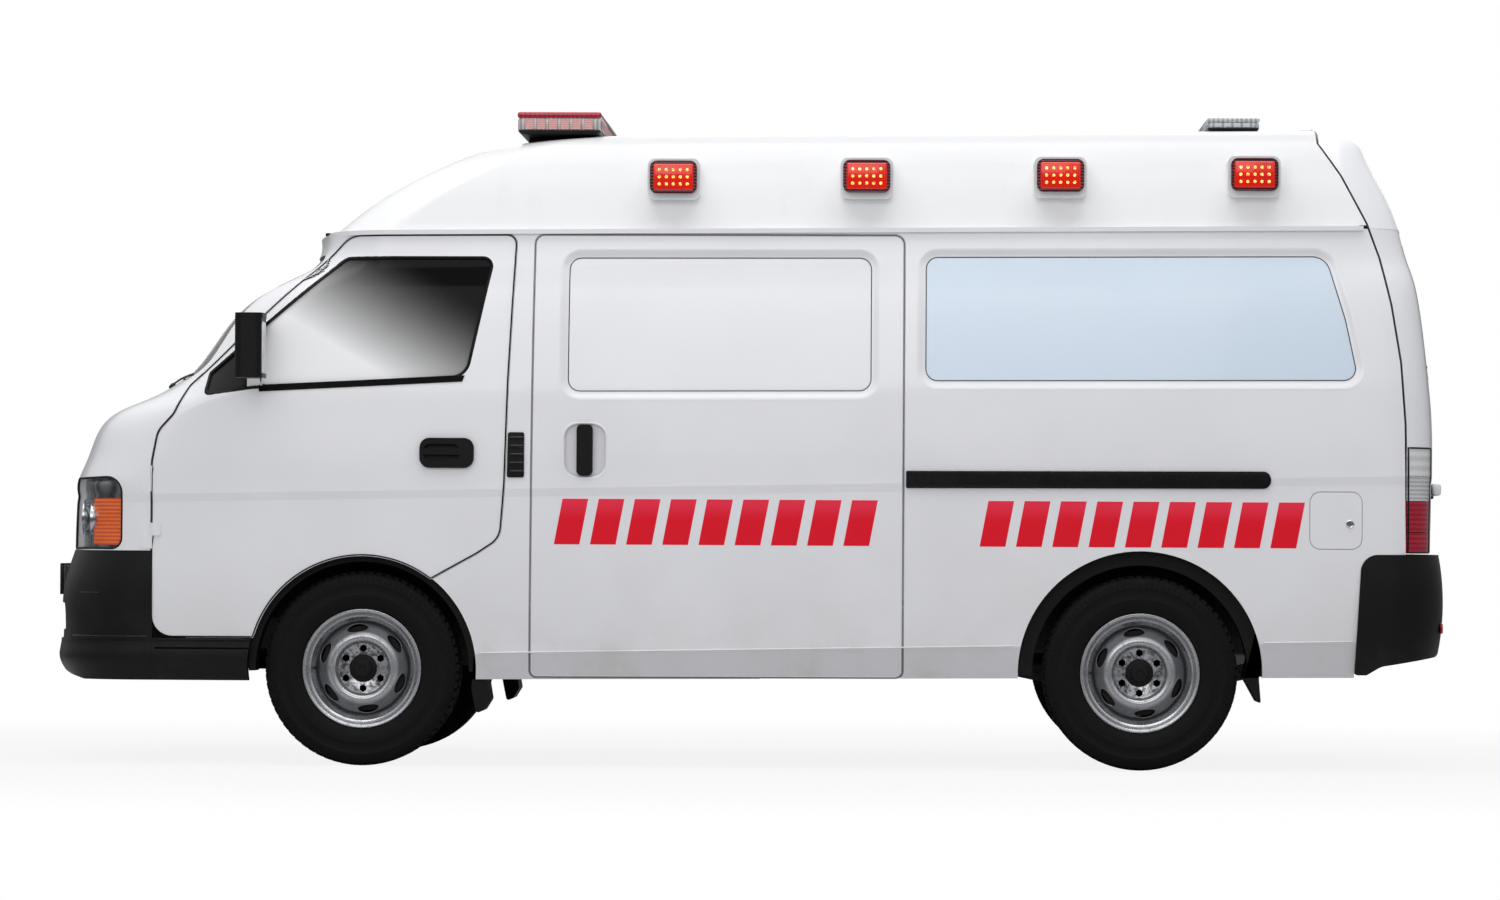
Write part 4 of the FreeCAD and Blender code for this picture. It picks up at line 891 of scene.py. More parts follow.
def moved(mesh, matrix):
    mesh.transform(matrix)
    return mesh


def bothSides(name, mesh, finish, bodies=("body", "body")):
    # the same piece on both sides; one piece when both ride on one body
    other = mirrorMesh(mesh)
    if bodies[0] == bodies[1]:
        place(name, joined([mesh, other]), finish, bodies[0])
    else:
        place("left_" + name, mesh, finish, bodies[0])
        place("right_" + name, other, finish, bodies[1])


# CAD parts in their own finishes

doors = ("left_front_door", "right_front_door")
dressing = [  # finish, angle above which an edge stays sharp, nodes
    ("roofPaint", 30, "high_roof"),
    ("whitePaint", 40, "drip_rails"),
    ("blackPlastic", 30, "front_bumper rear_bumper door_steps left_mirror right_mirror left_door_handle "
                         "right_door_handle grille side_vents sliding_door_handle"),
    ("railBlack", 30, "slide_rail"),
    ("doorGlass", 30, "left_door_glass right_door_glass"),
    ("screenGlass", 30, "windscreen"),
    ("gateGlass", 30, "tailgate_glass"),
    ("frostedGlass", 30, "rear_side_windows"),
    ("roofPaint", 35, "roof_lamps"),
    ("castIron", 30, "left_knuckle right_knuckle rear_axle engine_block front_suspension"),
    ("chassisPaint", 30, "chassis_frame leaf_springs drive_shaft"),
    ("exhaustSteel", 30, "exhaust"),
    ("chassisPaint", 30, "fuel_tank"),
    ("floorLining", 30, "floor_pan"),
    ("paleTrim", 30, "bulkhead side_bench"),
    ("interiorPlastic", 30, "dashboard"),
    ("darkTrim", 35, "steering_wheel"),
]
for node in ("front_panel", *doors, "left_side_panel", "right_side_panel", "sliding_door", "fuel_flap",
             "tailgate"):
    dressed(node, "whitePaint", 30, waistLine)
for finish, angle, nodes in dressing:
    for node in nodes.split():
        dressed(node, finish, angle)
print("CAD parts dressed")


# sides: seals, pressed panels, red blocks, locks, seams

postColumns = (nose + 1.715, nose + 3.075)   # plain strips of skin, clear of windows and pressed panels
postTree = treeOf(["left_side_panel", "sliding_door"])


def sideSkin(x, z):                    # the side's own surface, also over a window or a pressed panel
    near, far = (skinAt(column, z, postTree) for column in postColumns)
    return near + (far - near) * (x - postColumns[0]) / (postColumns[1] - postColumns[0])


glassTree = treeOf(["left_door_glass", "left_mirror"])
doorTree = treeOf(["left_front_door"])
windowMiddle = Vector((nose + 1.10, 1.52))


def doorSkin(x, z):                    # outer skin over the front door and its window
    door = skinAt(x, z, doorTree)
    if door:
        return door
    spot = Vector((x, z))
    for share in (0.0, 0.012, 0.04, 0.1):   # nudged towards the window's middle until it meets glass
        near = spot.lerp(windowMiddle, share)
        hit = glassTree.ray_cast(Vector((near.x, -0.872, near.y)), Vector((0, 1, 0)))[0]
        if hit:
            return hit.y - 0.010


def ringBand(corners, profile, surface):
    # closed ring along a rounded outline; profile holds (inset, depth) pairs, the seen side first
    path = densified(roundedOutline(corners), 0.03)
    bm = bmesh.new()
    rings = [[bm.verts.new((p.x, surface(p.x, p.y) + depth, p.y)) for p in grown(path, -inset)]
             for inset, depth in profile]
    for a, b in zip(rings, rings[1:] + rings[:1]):
        band(bm, a, b)
    return solid(facedOut(bm))


def patch(corners, columns, rows, lift, thickness, surface):
    # thin plate over four (x, z) corners, laid on a surface
    bm = bmesh.new()
    a, b, c, d = (Vector(p) for p in corners)
    grid = []
    for i in range(columns + 1):
        low, high = a.lerp(b, i / columns), d.lerp(c, i / columns)
        line = [low.lerp(high, k / rows) for k in range(rows + 1)]
        grid.append([bm.verts.new((p.x, surface(p.x, p.y) - lift, p.y)) for p in line])
    for i in range(columns):
        for k in range(rows):
            bm.faces.new((grid[i][k], grid[i + 1][k], grid[i + 1][k + 1], grid[i][k + 1]))
    if bm.faces[:][0].normal.y > 0:
        bmesh.ops.reverse_faces(bm, faces=bm.faces)
    bmesh.ops.solidify(bm, geom=bm.faces[:], thickness=thickness)
    return toMesh(facedOut(bm))


def onSide(corners, lift, surface, inset):   # a closed row of points on the side's surface
    path = grown(densified(roundedOutline(corners), 0.04), -inset)
    return [Vector((p.x, surface(p.x, p.y) - lift, p.y)) for p in path]


sides = {
    "doorWindow": [(nose + 0.603, 1.290, 0.022), (nose + 0.614, 1.375, 0.025), (nose + 1.090, 1.785, 0.055),
                   (nose + 1.620, 1.786, 0.035), (nose + 1.528, 1.358, 0.070), (nose + 0.777, 1.316, 0.1)],
    "blankPanel": [(nose + 1.853, 1.284, 0.07), (nose + 2.968, 1.290, 0.07), (nose + 2.968, 1.815, 0.07),
                   (nose + 1.853, 1.811, 0.07)],
    "rearWindow": [(tail - 1.889, 1.326, 0.07), (tail - 0.322, 1.334, 0.07), (tail - 0.372, 1.580, 0.3),
                   (tail - 0.445, 1.826, 0.09), (tail - 1.889, 1.818, 0.07)],
    "slope": [(-0.002, -0.0006), (0.003, 0.0004), (0.009, 0.0035), (0.016, 0.0078), (0.022, 0.0104),
              (0.027, 0.0112)],
}

# soft slopes round the blank panel and the rear windows, with a thin line inside each
for name, outline, share, back, line in (("panel", "blankPanel", 1.0, 0.0135, 0.0116),
                                         ("window", "rearWindow", 0.86, 0.0125, 0.0096)):
    slope = [(inset, depth * share) for inset, depth in sides["slope"]]
    ring = ringBand(sides[outline], slope + [(0.027, back), (-0.002, back)], sideSkin)
    bothSides(name + "Slope", ring, "whitePaint")
    bothSides(name + "Line", bead(onSide(sides[outline], -line, sideSkin, 0.029), 0.0016, "sealRubber"),
              "sealRubber")

# front door window: seal and belt strip
sealRing = ringBand(sides["doorWindow"],
                    [(-0.001, 0.0), (0.002, -0.0012), (0.008, 0.0010), (0.011, 0.0088), (0.011, 0.012),
                     (-0.001, 0.012)], doorSkin)
bothSides("doorSeal", sealRing, "sealRubber", doors)
belt = patch([(nose + 0.80, 1.306), (nose + 1.512, 1.344), (nose + 1.520, 1.366), (nose + 0.80, 1.330)],
             12, 2, 0.003, 0.010, doorSkin)
bothSides("beltStrip", belt, "sealRubber", doors)

# nine slanted red blocks on each of two places, in line with the sides
blocks = {"front": (-0.659, 0.477), "rear": (0.825, 1.960), "low": 0.778, "high": 0.937, "count": 9,
          "slant": 0.030, "width": 0.78}
redMeshes = []
for low, high in (blocks["front"], blocks["rear"]):
    pitch = (high - low) / blocks["count"]
    wide = pitch * blocks["width"] - blocks["slant"] * 0.3
    for i in range(blocks["count"]):
        x = low + pitch * i
        redMeshes.append(patch([
            (x, blocks["low"]), (x + wide, blocks["low"]),
            (x + wide + blocks["slant"], blocks["high"]), (x + blocks["slant"], blocks["high"])],
            3, 6, 0.0007, 0.0008, skinAt))
bothSides("redBlocks", joined(redMeshes), "redFilm")

# locks
locks = {"frontDoor": (-0.967, 1.071, 0.011), "slidingDoor": (-0.555, 1.043, 0.011),
         "fuelFlap": (2.110, 0.863, 0.014)}           # x, z and radius


def lockAt(x, z, radius, surface=skinAt):
    y = surface(x, z)
    bm = turned([(0.004, 0.0), (0.004, radius), (-0.002, radius), (-0.0035, radius * 0.86),
                 (-0.0025, radius * 0.62), (-0.0025, radius * 0.5), (-0.0012, radius * 0.45), (-0.0012, 0.0)],
                (x, y, z), (0, 1, 0), 28)
    return solid(bm)


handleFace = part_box("left_door_handle")[0].y + 0.010
flapTree = treeOf(["fuel_flap", "left_side_panel"])
bothSides("doorLock", lockAt(*locks["frontDoor"], lambda x, z: handleFace), "chrome", doors)
place("slideLock", lockAt(*locks["slidingDoor"]), "chrome", "body")
place("flapLock", lockAt(*locks["fuelFlap"], lambda x, z: skinAt(x, z, flapTree)), "chrome", "body")

# rim round the sliding door's handle pocket
pocket = [(nose + 1.867, 1.010, 0.05), (nose + 2.019, 1.010, 0.05), (nose + 2.019, 1.201, 0.05),
          (nose + 1.867, 1.201, 0.05)]
pocketRim = ringBand(pocket, [(-0.004, -0.0004), (0.0, -0.0012), (0.004, 0.0010), (0.006, 0.0080),
                                           (-0.004, 0.0080)], sideSkin)
place("pocketRim", pocketRim, "whitePaint", "body")

# louvres of the side vents
low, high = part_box("side_vents")
louvres = {"count": 5, "margin": 0.020, "half": 0.006, "from": 0.008, "to": 0.060}
bm = bmesh.new()
for i in range(louvres["count"]):
    z = low.z + louvres["margin"] + i * (high.z - low.z - 2 * louvres["margin"]) / (louvres["count"] - 1)
    y = skinAt(low.x + 0.034, z, everyTree) - 0.005
    addBox(bm, (low.x + louvres["from"], y - 0.0035, z - louvres["half"]),
           (low.x + louvres["to"], y + 0.002, z + louvres["half"]), 0.0025, 2)
bothSides("ventLouvres", solid(bm, 50), "railBlack")

# drip rail ends
bm = bmesh.new()
rail = [v.co.copy() for v in parts["drip_rails"].data.vertices if v.co.y < 0]
for tip in (min(rail, key=lambda p: p.x), max(rail, key=lambda p: p.x)):
    addBox(bm, (tip.x - 0.014, tip.y - 0.003, tip.z - 0.009), (tip.x + 0.016, tip.y + 0.012, tip.z + 0.003),
           0.003, 2)
bothSides("gutterEnds", solid(bm, 50), "blackPlastic")

# fine lips in the shut gaps, and dark lines in them as painted shade for the gaps' shadow; the line at a
# hinge rides with its door
seams = {"middle": 0.0040, "lip": 0.0032, "lipDepth": 0.0055, "line": 0.0012, "shadeLineDepth": 0.0020,
         "spacing": 0.006, "hingeShadeLine": 0.0017, "hingeOut": 0.0018, "hingeProud": 0.0016}


def borderOf(node, direction):
    loop = loopsOf(skinOf(node, direction, 0.5))[0]
    return densified(thinned(loop, seams["spacing"]), 0.05)


def seamAround(name, node, direction, flat, keep=None):
    # flat gives the two axes of the outline's plane; the third one is the depth
    border = borderOf(node, direction)
    deep = 3 - flat[0] - flat[1]
    sign = 1 if direction[deep] > 0 else -1
    outline = grown([Vector((p[flat[0]], p[flat[1]])) for p in border], seams["middle"])
    rows = {}
    for label, depth in (("lip", seams["lipDepth"]), ("line", seams["shadeLineDepth"])):
        row = []
        for point, spot in zip(border, outline):
            here = Vector((0, 0, 0))
            here[flat[0]], here[flat[1]] = spot.x, spot.y
            here[deep] = point[deep] - sign * depth
            row.append(here)
        if keep:
            kept = [keep(p) for p in row]
            start = next(i for i in range(len(row)) if kept[i] and not kept[i - 1])
            row = row[start:] + row[:start]
            row = row[:next(i for i in range(len(row)) if not keep(row[i]))]
        rows[label] = row
    lip = bead(rows["lip"], seams["lip"], "whitePaint", 1.0, not keep)
    place(name + "Lip", lip, "whitePaint", "body")
    # painted shade: a black bead deep in the gap stands in for its shadow
    line = bead(rows["line"], seams["line"], "sealRubber", 1.0, not keep, 6)
    place(name + "Line", line, "sealRubber", "body")


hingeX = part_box("left_front_door")[0].x + 0.10
seamAround("slideSeam", "sliding_door", (0, -1, 0.1), (0, 2))
for side, prefix in ((-1, "left"), (1, "right")):
    node = prefix + "_front_door"
    seamAround(prefix + "DoorSeam", node, (0, side, 0.1), (0, 2),
               lambda p: p.x > hingeX + 0.35 * max(0, p.z - 1.2))
    # painted shade: a black bead laid just outside the door's edge marks the shadow of the gap on the hinge
    # side
    border = borderOf(node, (0, side, 0.1))
    outline = grown([Vector((p.x, p.z)) for p in border], seams["hingeOut"])
    row = [Vector((q.x, p.y + side * seams["hingeProud"], q.y)) for p, q in zip(border, outline)]
    place(prefix + "HingeLine", bead(row, seams["hingeShadeLine"], "sealRubber", 1.0, True, 6), "sealRubber", node)

# bright edge above the sill, and black liners at the feet of the wheel arches
rows = []
for first, last in sillEdge["runs"]:
    count = int((last - first) / 0.03)
    xs = [first + (last - first) * k / count for k in range(count + 1)]
    spots = [(x, sillEdge["level"] + sillEdge["climb"] * x) for x in xs]
    run = [Vector((x, skinAt(x, z) - 0.0002, z)) for x, z in spots if skinAt(x, z)]
    rows.append(bead(run, sillEdge["radius"], "whitePaint", 1.0, False))
bothSides("sillEdge", joined(rows), "whitePaint")


def archLiner(axle, reach, depth, foot):
    # black plate just inside the side panel, between the edge of the arch and the tyre
    bm = bmesh.new()
    low = math.asin((foot - tyreRadius) / reach)
    rows = []
    for i in range(49):
        angle = low + (math.pi - 2 * low) * i / 48
        for radius in (reach - 0.002, reach - depth):
            x, z = axle + radius * math.cos(angle), tyreRadius + radius * math.sin(angle)
            rows.append([bm.verts.new((x, y, max(z, foot))) for y in (-0.800, -0.700)])
    for i in range(48):
        a, b, c, d = rows[2 * i], rows[2 * i + 1], rows[2 * i + 3], rows[2 * i + 2]
        for quad in ((a[0], b[0], c[0], d[0]), (a[1], d[1], c[1], b[1]), (a[0], d[0], d[1], a[1]),
                     (b[0], b[1], c[1], c[0])):
            bm.faces.new(quad)
    for a, b in ((rows[0], rows[1]), (rows[-1], rows[-2])):
        bm.faces.new((a[0], a[1], b[1], b[0]))
    return solid(facedOut(bm))


linerFoot = 0.330
bothSides("rearArchLiner", archLiner(rearAxle, archReach["rear"], 0.050, linerFoot), "flapRubber")
bothSides("frontArchLiner", archLiner(frontAxle, archReach["front"], 0.026, linerFoot), "flapRubber")

# the flaps hang inside the side panels
flaps = merged("mudflaps")
for vert in flaps.verts:
    vert.co.y = max(-0.800, min(0.800, vert.co.y))
place("flapSheets", solid(flaps, 30), "flapRubber", "body", "mudflaps")
print("sides dressed")


# roof: side lamps and light bars

lampSet = {"centres": [nose + 2.244 + 0.6765 * i for i in range(4)], "slope": 0.0079, "height": 2.062,
           "half": 0.0825, "below": 0.0545, "above": 0.0605, "face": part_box("roof_lamps")[0].y,
           "led": 0.0062, "ledColumns": 5, "ledRows": 3, "ledWide": 0.098, "ledTall": 0.050}
ledProfile = [(0.002, 0.0), (0.002, lampSet["led"]), (-0.0008, lampSet["led"] * 0.85),
              (-0.0018, lampSet["led"] * 0.45), (-0.0022, 0.0)]

bezels, lenses, dots = bmesh.new(), bmesh.new(), []
for x in lampSet["centres"]:
    z = lampSet["height"] + lampSet["slope"] * (x + 0.25)
    face = lampSet["face"]
    low, high = z - lampSet["below"], z + lampSet["above"]
    addBox(bezels, (x - lampSet["half"], face - 0.004, low), (x + lampSet["half"], face + 0.085, high),
           0.024, 5, (1,))
    addBox(lenses, (x - lampSet["half"] + 0.012, face - 0.011, low + 0.011),
           (x + lampSet["half"] - 0.012, face + 0.010, high - 0.011), 0.007, 3)
    grid = copies("rows", turned(ledProfile, (0, 0, 0), (0, 0, -1), 8), "ledRed",
                  Columns=lampSet["ledColumns"], Rows=lampSet["ledRows"],
                  Width=lampSet["ledWide"], Height=lampSet["ledTall"])
    turn = Matrix.Translation((x, face - 0.0112, (low + high) / 2)) @ Matrix.Rotation(math.pi / 2, 4, "X")
    dots.append(moved(grid, turn))
bothSides("lampBezels", solid(bezels, 50), "bezelRed")
bothSides("lampLenses", solid(lenses, 50), "roofRed")
bothSides("lampDots", joined(dots), "ledRed")


def barTray(node, level):              # the CAD bar's feet and tray, below one level
    bm = trimmed(merged(node), 2, level, 1)
    bmesh.ops.holes_fill(bm, edges=openEdges(bm))
    return solid(bm, 35)


barSet = {"shrink": 0.003, "corner": 0.014, "capShrink": 0.001, "capCorner": 0.012, "cellDeep": 0.0015,
          "cellHalf": 0.0012, "endMargin": 0.028, "sideMargin": 0.04, "fill": 0.72, "wideFill": 1.2,
          "wide": 1.6}


def lightBar(name, node, tray, cap, under, over, tint, cell):
    # tray and cap are measured down from the bar's top; cell is the pitch of the lamp cells
    low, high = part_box(node)
    level, split = high.z - tray, high.z - cap
    place(name + "Tray", barTray(node, level), "blackPlastic", "body", node)
    slim = barSet["shrink"]
    lower = roundedBox((low.x + slim, low.y + slim, level - 0.004),
                       (high.x - slim, high.y - slim, split), barSet["corner"], 4)
    slim = barSet["capShrink"]
    upper = roundedBox((low.x + slim, low.y + slim, split - 0.005),
                       (high.x - slim, high.y - slim, high.z - 0.0005),
                       min(barSet["capCorner"], (high.z - split) * 0.45), 4)
    place(name + "Lower", solid(lower, 50), under, "body")
    place(name + "Upper", solid(upper, 50), over, "body")
    # lamp cells behind the lens, along the ends and the front
    cells = bmesh.new()
    foot, top = level + 0.004, split - 0.008
    deep, half = barSet["cellDeep"], barSet["cellHalf"]
    for y in (low.y + deep, high.y - deep):
        for i in range(int((high.x - low.x - 0.04) / cell)):
            x = low.x + barSet["endMargin"] + i * cell
            addBox(cells, (x, y - half, foot), (x + cell * barSet["fill"], y + half, top), 0.001, 1)
    for x in (low.x + deep, high.x - deep):
        for i in range(int((high.y - low.y - 0.06) / (cell * barSet["wide"]))):
            y = low.y + barSet["sideMargin"] + i * cell * barSet["wide"]
            addBox(cells, (x - half, y, foot), (x + half, y + cell * barSet["wideFill"], top), 0.001, 1)
    place(name + "Cells", toMesh(cells), tint, "body")


lightBar("frontBar", "front_light_bar", 0.066, 0.018, "barClear", "barRed", "barRose", 0.042)
lightBar("rearBar", "rear_light_bar", 0.036, 0.010, "barGrey", "barGrey", "barPale", 0.034)
print("roof dressed")


# wheels, made once about their own centre

wheelSet = {
    "middle": 0.730, "discFace": 0.766, "nutCircle": 0.06985, "nuts": 6,
    "treadRows": 5, "treadCount": 68, "treadHeight": 0.0075, "treadFall": 0.0004, "treadWidth": 0.158,
    "treadSkew": (-24, 18, -18, 18, 24), "sideRibs": 96, "ribRadius": 0.306, "ribPlace": 0.0948,
}
tyreProfile = [  # distance from the middle plane, radius
    (-0.0800, 0.2070), (-0.0880, 0.2140), (-0.0905, 0.2225), (-0.0935, 0.2290), (-0.0960, 0.2420),
    (-0.0970, 0.2560), (-0.0972, 0.2585), (-0.0961, 0.2605), (-0.0964, 0.2800), (-0.0956, 0.2950),
    (-0.0966, 0.2970), (-0.0940, 0.3120), (-0.0890, 0.3240), (-0.0800, 0.3315), (-0.0600, 0.3330),
]
tyreProfile += [(0.0, 0.3335)] + [(-along, radius) for along, radius in reversed(tyreProfile)]
tyreProfile += [(0.0700, 0.2040), (-0.0700, 0.2040), (-0.0800, 0.2070)]


def ringBody(profile, centre, count):  # a closed ring turned about an axis along Y
    bm = turned(profile, centre, (0, 1, 0), count)
    bmesh.ops.remove_doubles(bm, verts=bm.verts, dist=1e-6)
    return facedOut(bm)


def tyreMesh():
    pieces = [solid(ringBody(tyreProfile, (0, 0, 0), 96), 30)]
    rows = wheelSet["treadRows"]
    step = wheelSet["treadWidth"] / rows
    for row in range(rows):
        edge = row in (0, rows - 1)
        half = 0.0235 / 2 if edge else 0.0205 / 2
        block = roundedBox((-0.006, -half, -step * 0.40),
                           (wheelSet["treadHeight"] * (0.86 if edge else 1.0), half, step * 0.40),
                           0.0012, 1, (0,))
        block.transform(Matrix.Rotation(math.radians(wheelSet["treadSkew"][row]), 4, "X"))
        ring = copies("ring", block, "tyre", Count=wheelSet["treadCount"], Start=0.046 * (row % 2),
                      Radius=tyreRadius - wheelSet["treadHeight"] - wheelSet["treadFall"])
        y = -wheelSet["treadWidth"] / 2 + step * (row + 0.5)
        pieces.append(moved(ring, Matrix.Translation((0, y, 0))))
    for side in (-1, 1):
        rib = roundedBox((-0.011, -0.0011, -0.002), (0.011, 0.0011, 0.002), 0.0006, 1, (0,))
        ring = copies("ring", rib, "tyre", Count=wheelSet["sideRibs"], Start=0.0,
                      Radius=wheelSet["ribRadius"])
        pieces.append(moved(ring, Matrix.Translation((0, side * wheelSet["ribPlace"], 0))))
    return joined(pieces)


rimProfile = [  # distance outwards from the middle plane, radius: the outer face, then back inside
    (0.0845, 0.2078), (0.0860, 0.2055), (0.0858, 0.2015), (0.0835, 0.1975), (0.0780, 0.1940),
    (0.0700, 0.1885), (0.0660, 0.1840), (0.0640, 0.1812), (0.0600, 0.1798), (0.0520, 0.1750),
    (0.0440, 0.1705), (0.0380, 0.1670), (0.0330, 0.1650), (0.0240, 0.1640), (0.0225, 0.1625),
    (0.0240, 0.1605), (0.0300, 0.1590), (0.0350, 0.1545), (0.0395, 0.1480), (0.0440, 0.1400),
    (0.0495, 0.1310), (0.0550, 0.1240), (0.0595, 0.1165), (0.0612, 0.1085), (0.0595, 0.1010),
    (0.0545, 0.0950), (0.0470, 0.0908), (0.0400, 0.0888), (0.0368, 0.0868), (0.0360, 0.0840),
    (0.0360, 0.0500), (0.0340, 0.0470), (0.0280, 0.0470), (0.0280, 0.0800), (0.0310, 0.0880),
    (0.0450, 0.0985), (0.0520, 0.1080), (0.0500, 0.1160), (0.0410, 0.1290), (0.0330, 0.1430),
    (0.0240, 0.1540), (0.0140, 0.1610), (0.0060, 0.1650), (-0.0340, 0.1650), (-0.0680, 0.1860),
    (-0.0860, 0.2000), (-0.0860, 0.2080), (-0.0800, 0.2080), (-0.0760, 0.1960), (-0.0620, 0.1900),
    (-0.0300, 0.1720), (0.0400, 0.1720), (0.0620, 0.1900), (0.0760, 0.1960), (0.0800, 0.2080),
    (0.0845, 0.2078),
]
vents = {"radius": 0.1420, "long": 0.0365, "wide": 0.0135, "count": 6, "start": math.radians(82),
         "lip": 0.0019, "lipOut": 0.0018}


def cutBy(mesh, tool):                 # mesh less the closed tool, worked out by Blender
    base, cutter = linked("base", mesh), linked("cutter", tool)
    cut = base.modifiers.new("cut", "BOOLEAN")
    cut.object, cut.operation, cut.solver = cutter, "DIFFERENCE", "EXACT"
    bpy.context.view_layer.update()
    ready = base.evaluated_get(bpy.context.evaluated_depsgraph_get())
    bm = bmesh.new()
    bm.from_mesh(ready.to_mesh())
    for obj in (base, cutter):
        bpy.data.objects.remove(obj)
    return bm


def faceLevel(radius):                 # how far out the disc's face is at a radius
    face = [(r, a) for a, r in rimProfile[14:31]]
    for (r1, a1), (r0, a0) in zip(face, face[1:]):
        if r0 <= radius <= r1:
            return a0 + (a1 - a0) * (radius - r0) / (r1 - r0)
    return face[-1][1]


def rimMesh():
    tool, lips = bmesh.new(), []
    steps = 40
    for k in range(vents["count"]):
        turn = vents["start"] + k * 2 * math.pi / vents["count"]
        out = Vector((math.cos(turn), 0, math.sin(turn)))
        around = Vector((-math.sin(turn), 0, math.cos(turn)))

        def oval(grow, step):
            angle = 2 * math.pi * step / steps
            bend = vents["radius"] + math.sin(angle) * (vents["wide"] + grow)
            slide = math.cos(angle) * (vents["long"] + grow) / vents["radius"]
            return (out * math.cos(slide) + around * math.sin(slide)) * bend

        low, high = ([tool.verts.new(oval(0.0, i) + Vector((0, y, 0))) for i in range(steps)]
                     for y in (0.0, 0.09))
        tool.faces.new(low)
        tool.faces.new(high)
        band(tool, low, high)
        edge = [oval(vents["lipOut"], i) for i in range(steps)]
        lips.append(bead([p + Vector((0, faceLevel(p.length), 0)) for p in edge], vents["lip"], "wheelSteel"))
    disc = toMesh(ringBody(rimProfile, (0, 0, 0), 120))
    return joined([solid(cutBy(disc, toMesh(facedOut(tool))), 35)] + lips)


def nutMesh():                         # six nuts with their washers, about the wheel's own centre
    nut = turned([(0.0, 0.0), (0.0, 0.0135), (0.0020, 0.0135), (0.0025, 0.0112), (0.0150, 0.0112),
                  (0.0180, 0.0085), (0.0185, 0.0)], (0, 0, 0), (0, 1, 0), 6)
    nut.transform(Matrix.Rotation(math.pi / 2, 4, "X"))
    return copies("ring", nut, "zinc", Count=wheelSet["nuts"], Radius=wheelSet["nutCircle"],
                  Start=math.pi / 6)


treadMesh = tyreMesh()
discMesh = rimMesh()
nutRing = nutMesh()
turnedPieces = {  # finish, place on the wheel, steps round, then (outwards, radius) pairs
    "cap": ("sealRubber", (0, 0.0, 0), 40,
            [(-0.002, 0.0), (-0.002, 0.0455), (0.004, 0.0455), (0.006, 0.0430), (0.0075, 0.0330),
             (0.0190, 0.0315), (0.0235, 0.0270), (0.0245, 0.0120), (0.0225, 0.0105), (0.0225, 0.0)]),
    "drum": ("darkDrum", (0, -0.016, 0), 48,
             [(0.0, 0.0), (0.0, 0.148), (-0.050, 0.148), (-0.056, 0.142), (-0.056, 0.0)]),
    "valve": ("sealRubber", (0.168, -0.006, 0.0), 12,
              [(0.0, 0.0), (0.0, 0.0045), (0.020, 0.0036), (0.022, 0.0042), (0.034, 0.0042), (0.035, 0.0)]),
}
depth = wheelSet["discFace"] - wheelSet["middle"]
for corner, x, side in (("left_front", frontAxle, -1), ("right_front", frontAxle, 1),
                        ("left_rear", rearAxle, -1), ("right_rear", rearAxle, 1)):
    body = parts[corner + "_rim"]["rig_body"]
    centre = Matrix.Translation((x, side * wheelSet["middle"], tyreRadius))
    place(corner + "_tread", moved(treadMesh.copy(), centre), "tyre", body, corner + "_tyre")
    facing = centre @ Matrix.Rotation(0 if side > 0 else math.pi, 4, "Z")
    place(corner + "_wheel", moved(discMesh.copy(), facing), "wheelSteel", body, corner + "_rim")
    out = Matrix.Scale(side, 4, (0, 1, 0))
    nuts = moved(nutRing.copy(), centre @ out @ Matrix.Translation((0, depth, 0)))
    if side < 0:
        nuts.flip_normals()
    place(corner + "_nuts", nuts, "zinc", body)
    for name, (finish, (along, proud, up), count, profile) in turnedPieces.items():
        piece = turned(profile, (0, 0, 0), (0, 1, 0), count)
        piece.transform(facing @ Matrix.Translation((along, depth + proud, up)))
        place(corner + "_" + name, solid(piece, 35), finish, body)
print("wheels dressed")


# lamps at the corners

def outerSkin(node, side):             # the outer faces of a wrap-round lamp
    away = -1 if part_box(node)[0].x < 0 else 1
    return skinOf(node, (0.7 * away, 0.7 * side, 0.05), 0.30, lambda c: c.y * side > 0)


lampSets = {
    "amber": (nose + 0.205, nose + 0.332, 0.768, 0.930),
    "bowls": [(nose + 0.105, 0.560, 0.862, 0.062), (nose + 0.110, 0.695, 0.858, 0.055)],
    "tailSplits": (0.836, 0.944),
}


def lampEdge(bm, radius, finish, push):
    points = thinned(loopsOf(bm)[0], 0.006)
    centre = sum(points, Vector()) / len(points)
    points = [p + (centre - p).normalized() * push for p in points]
    return bead(points, radius, finish)


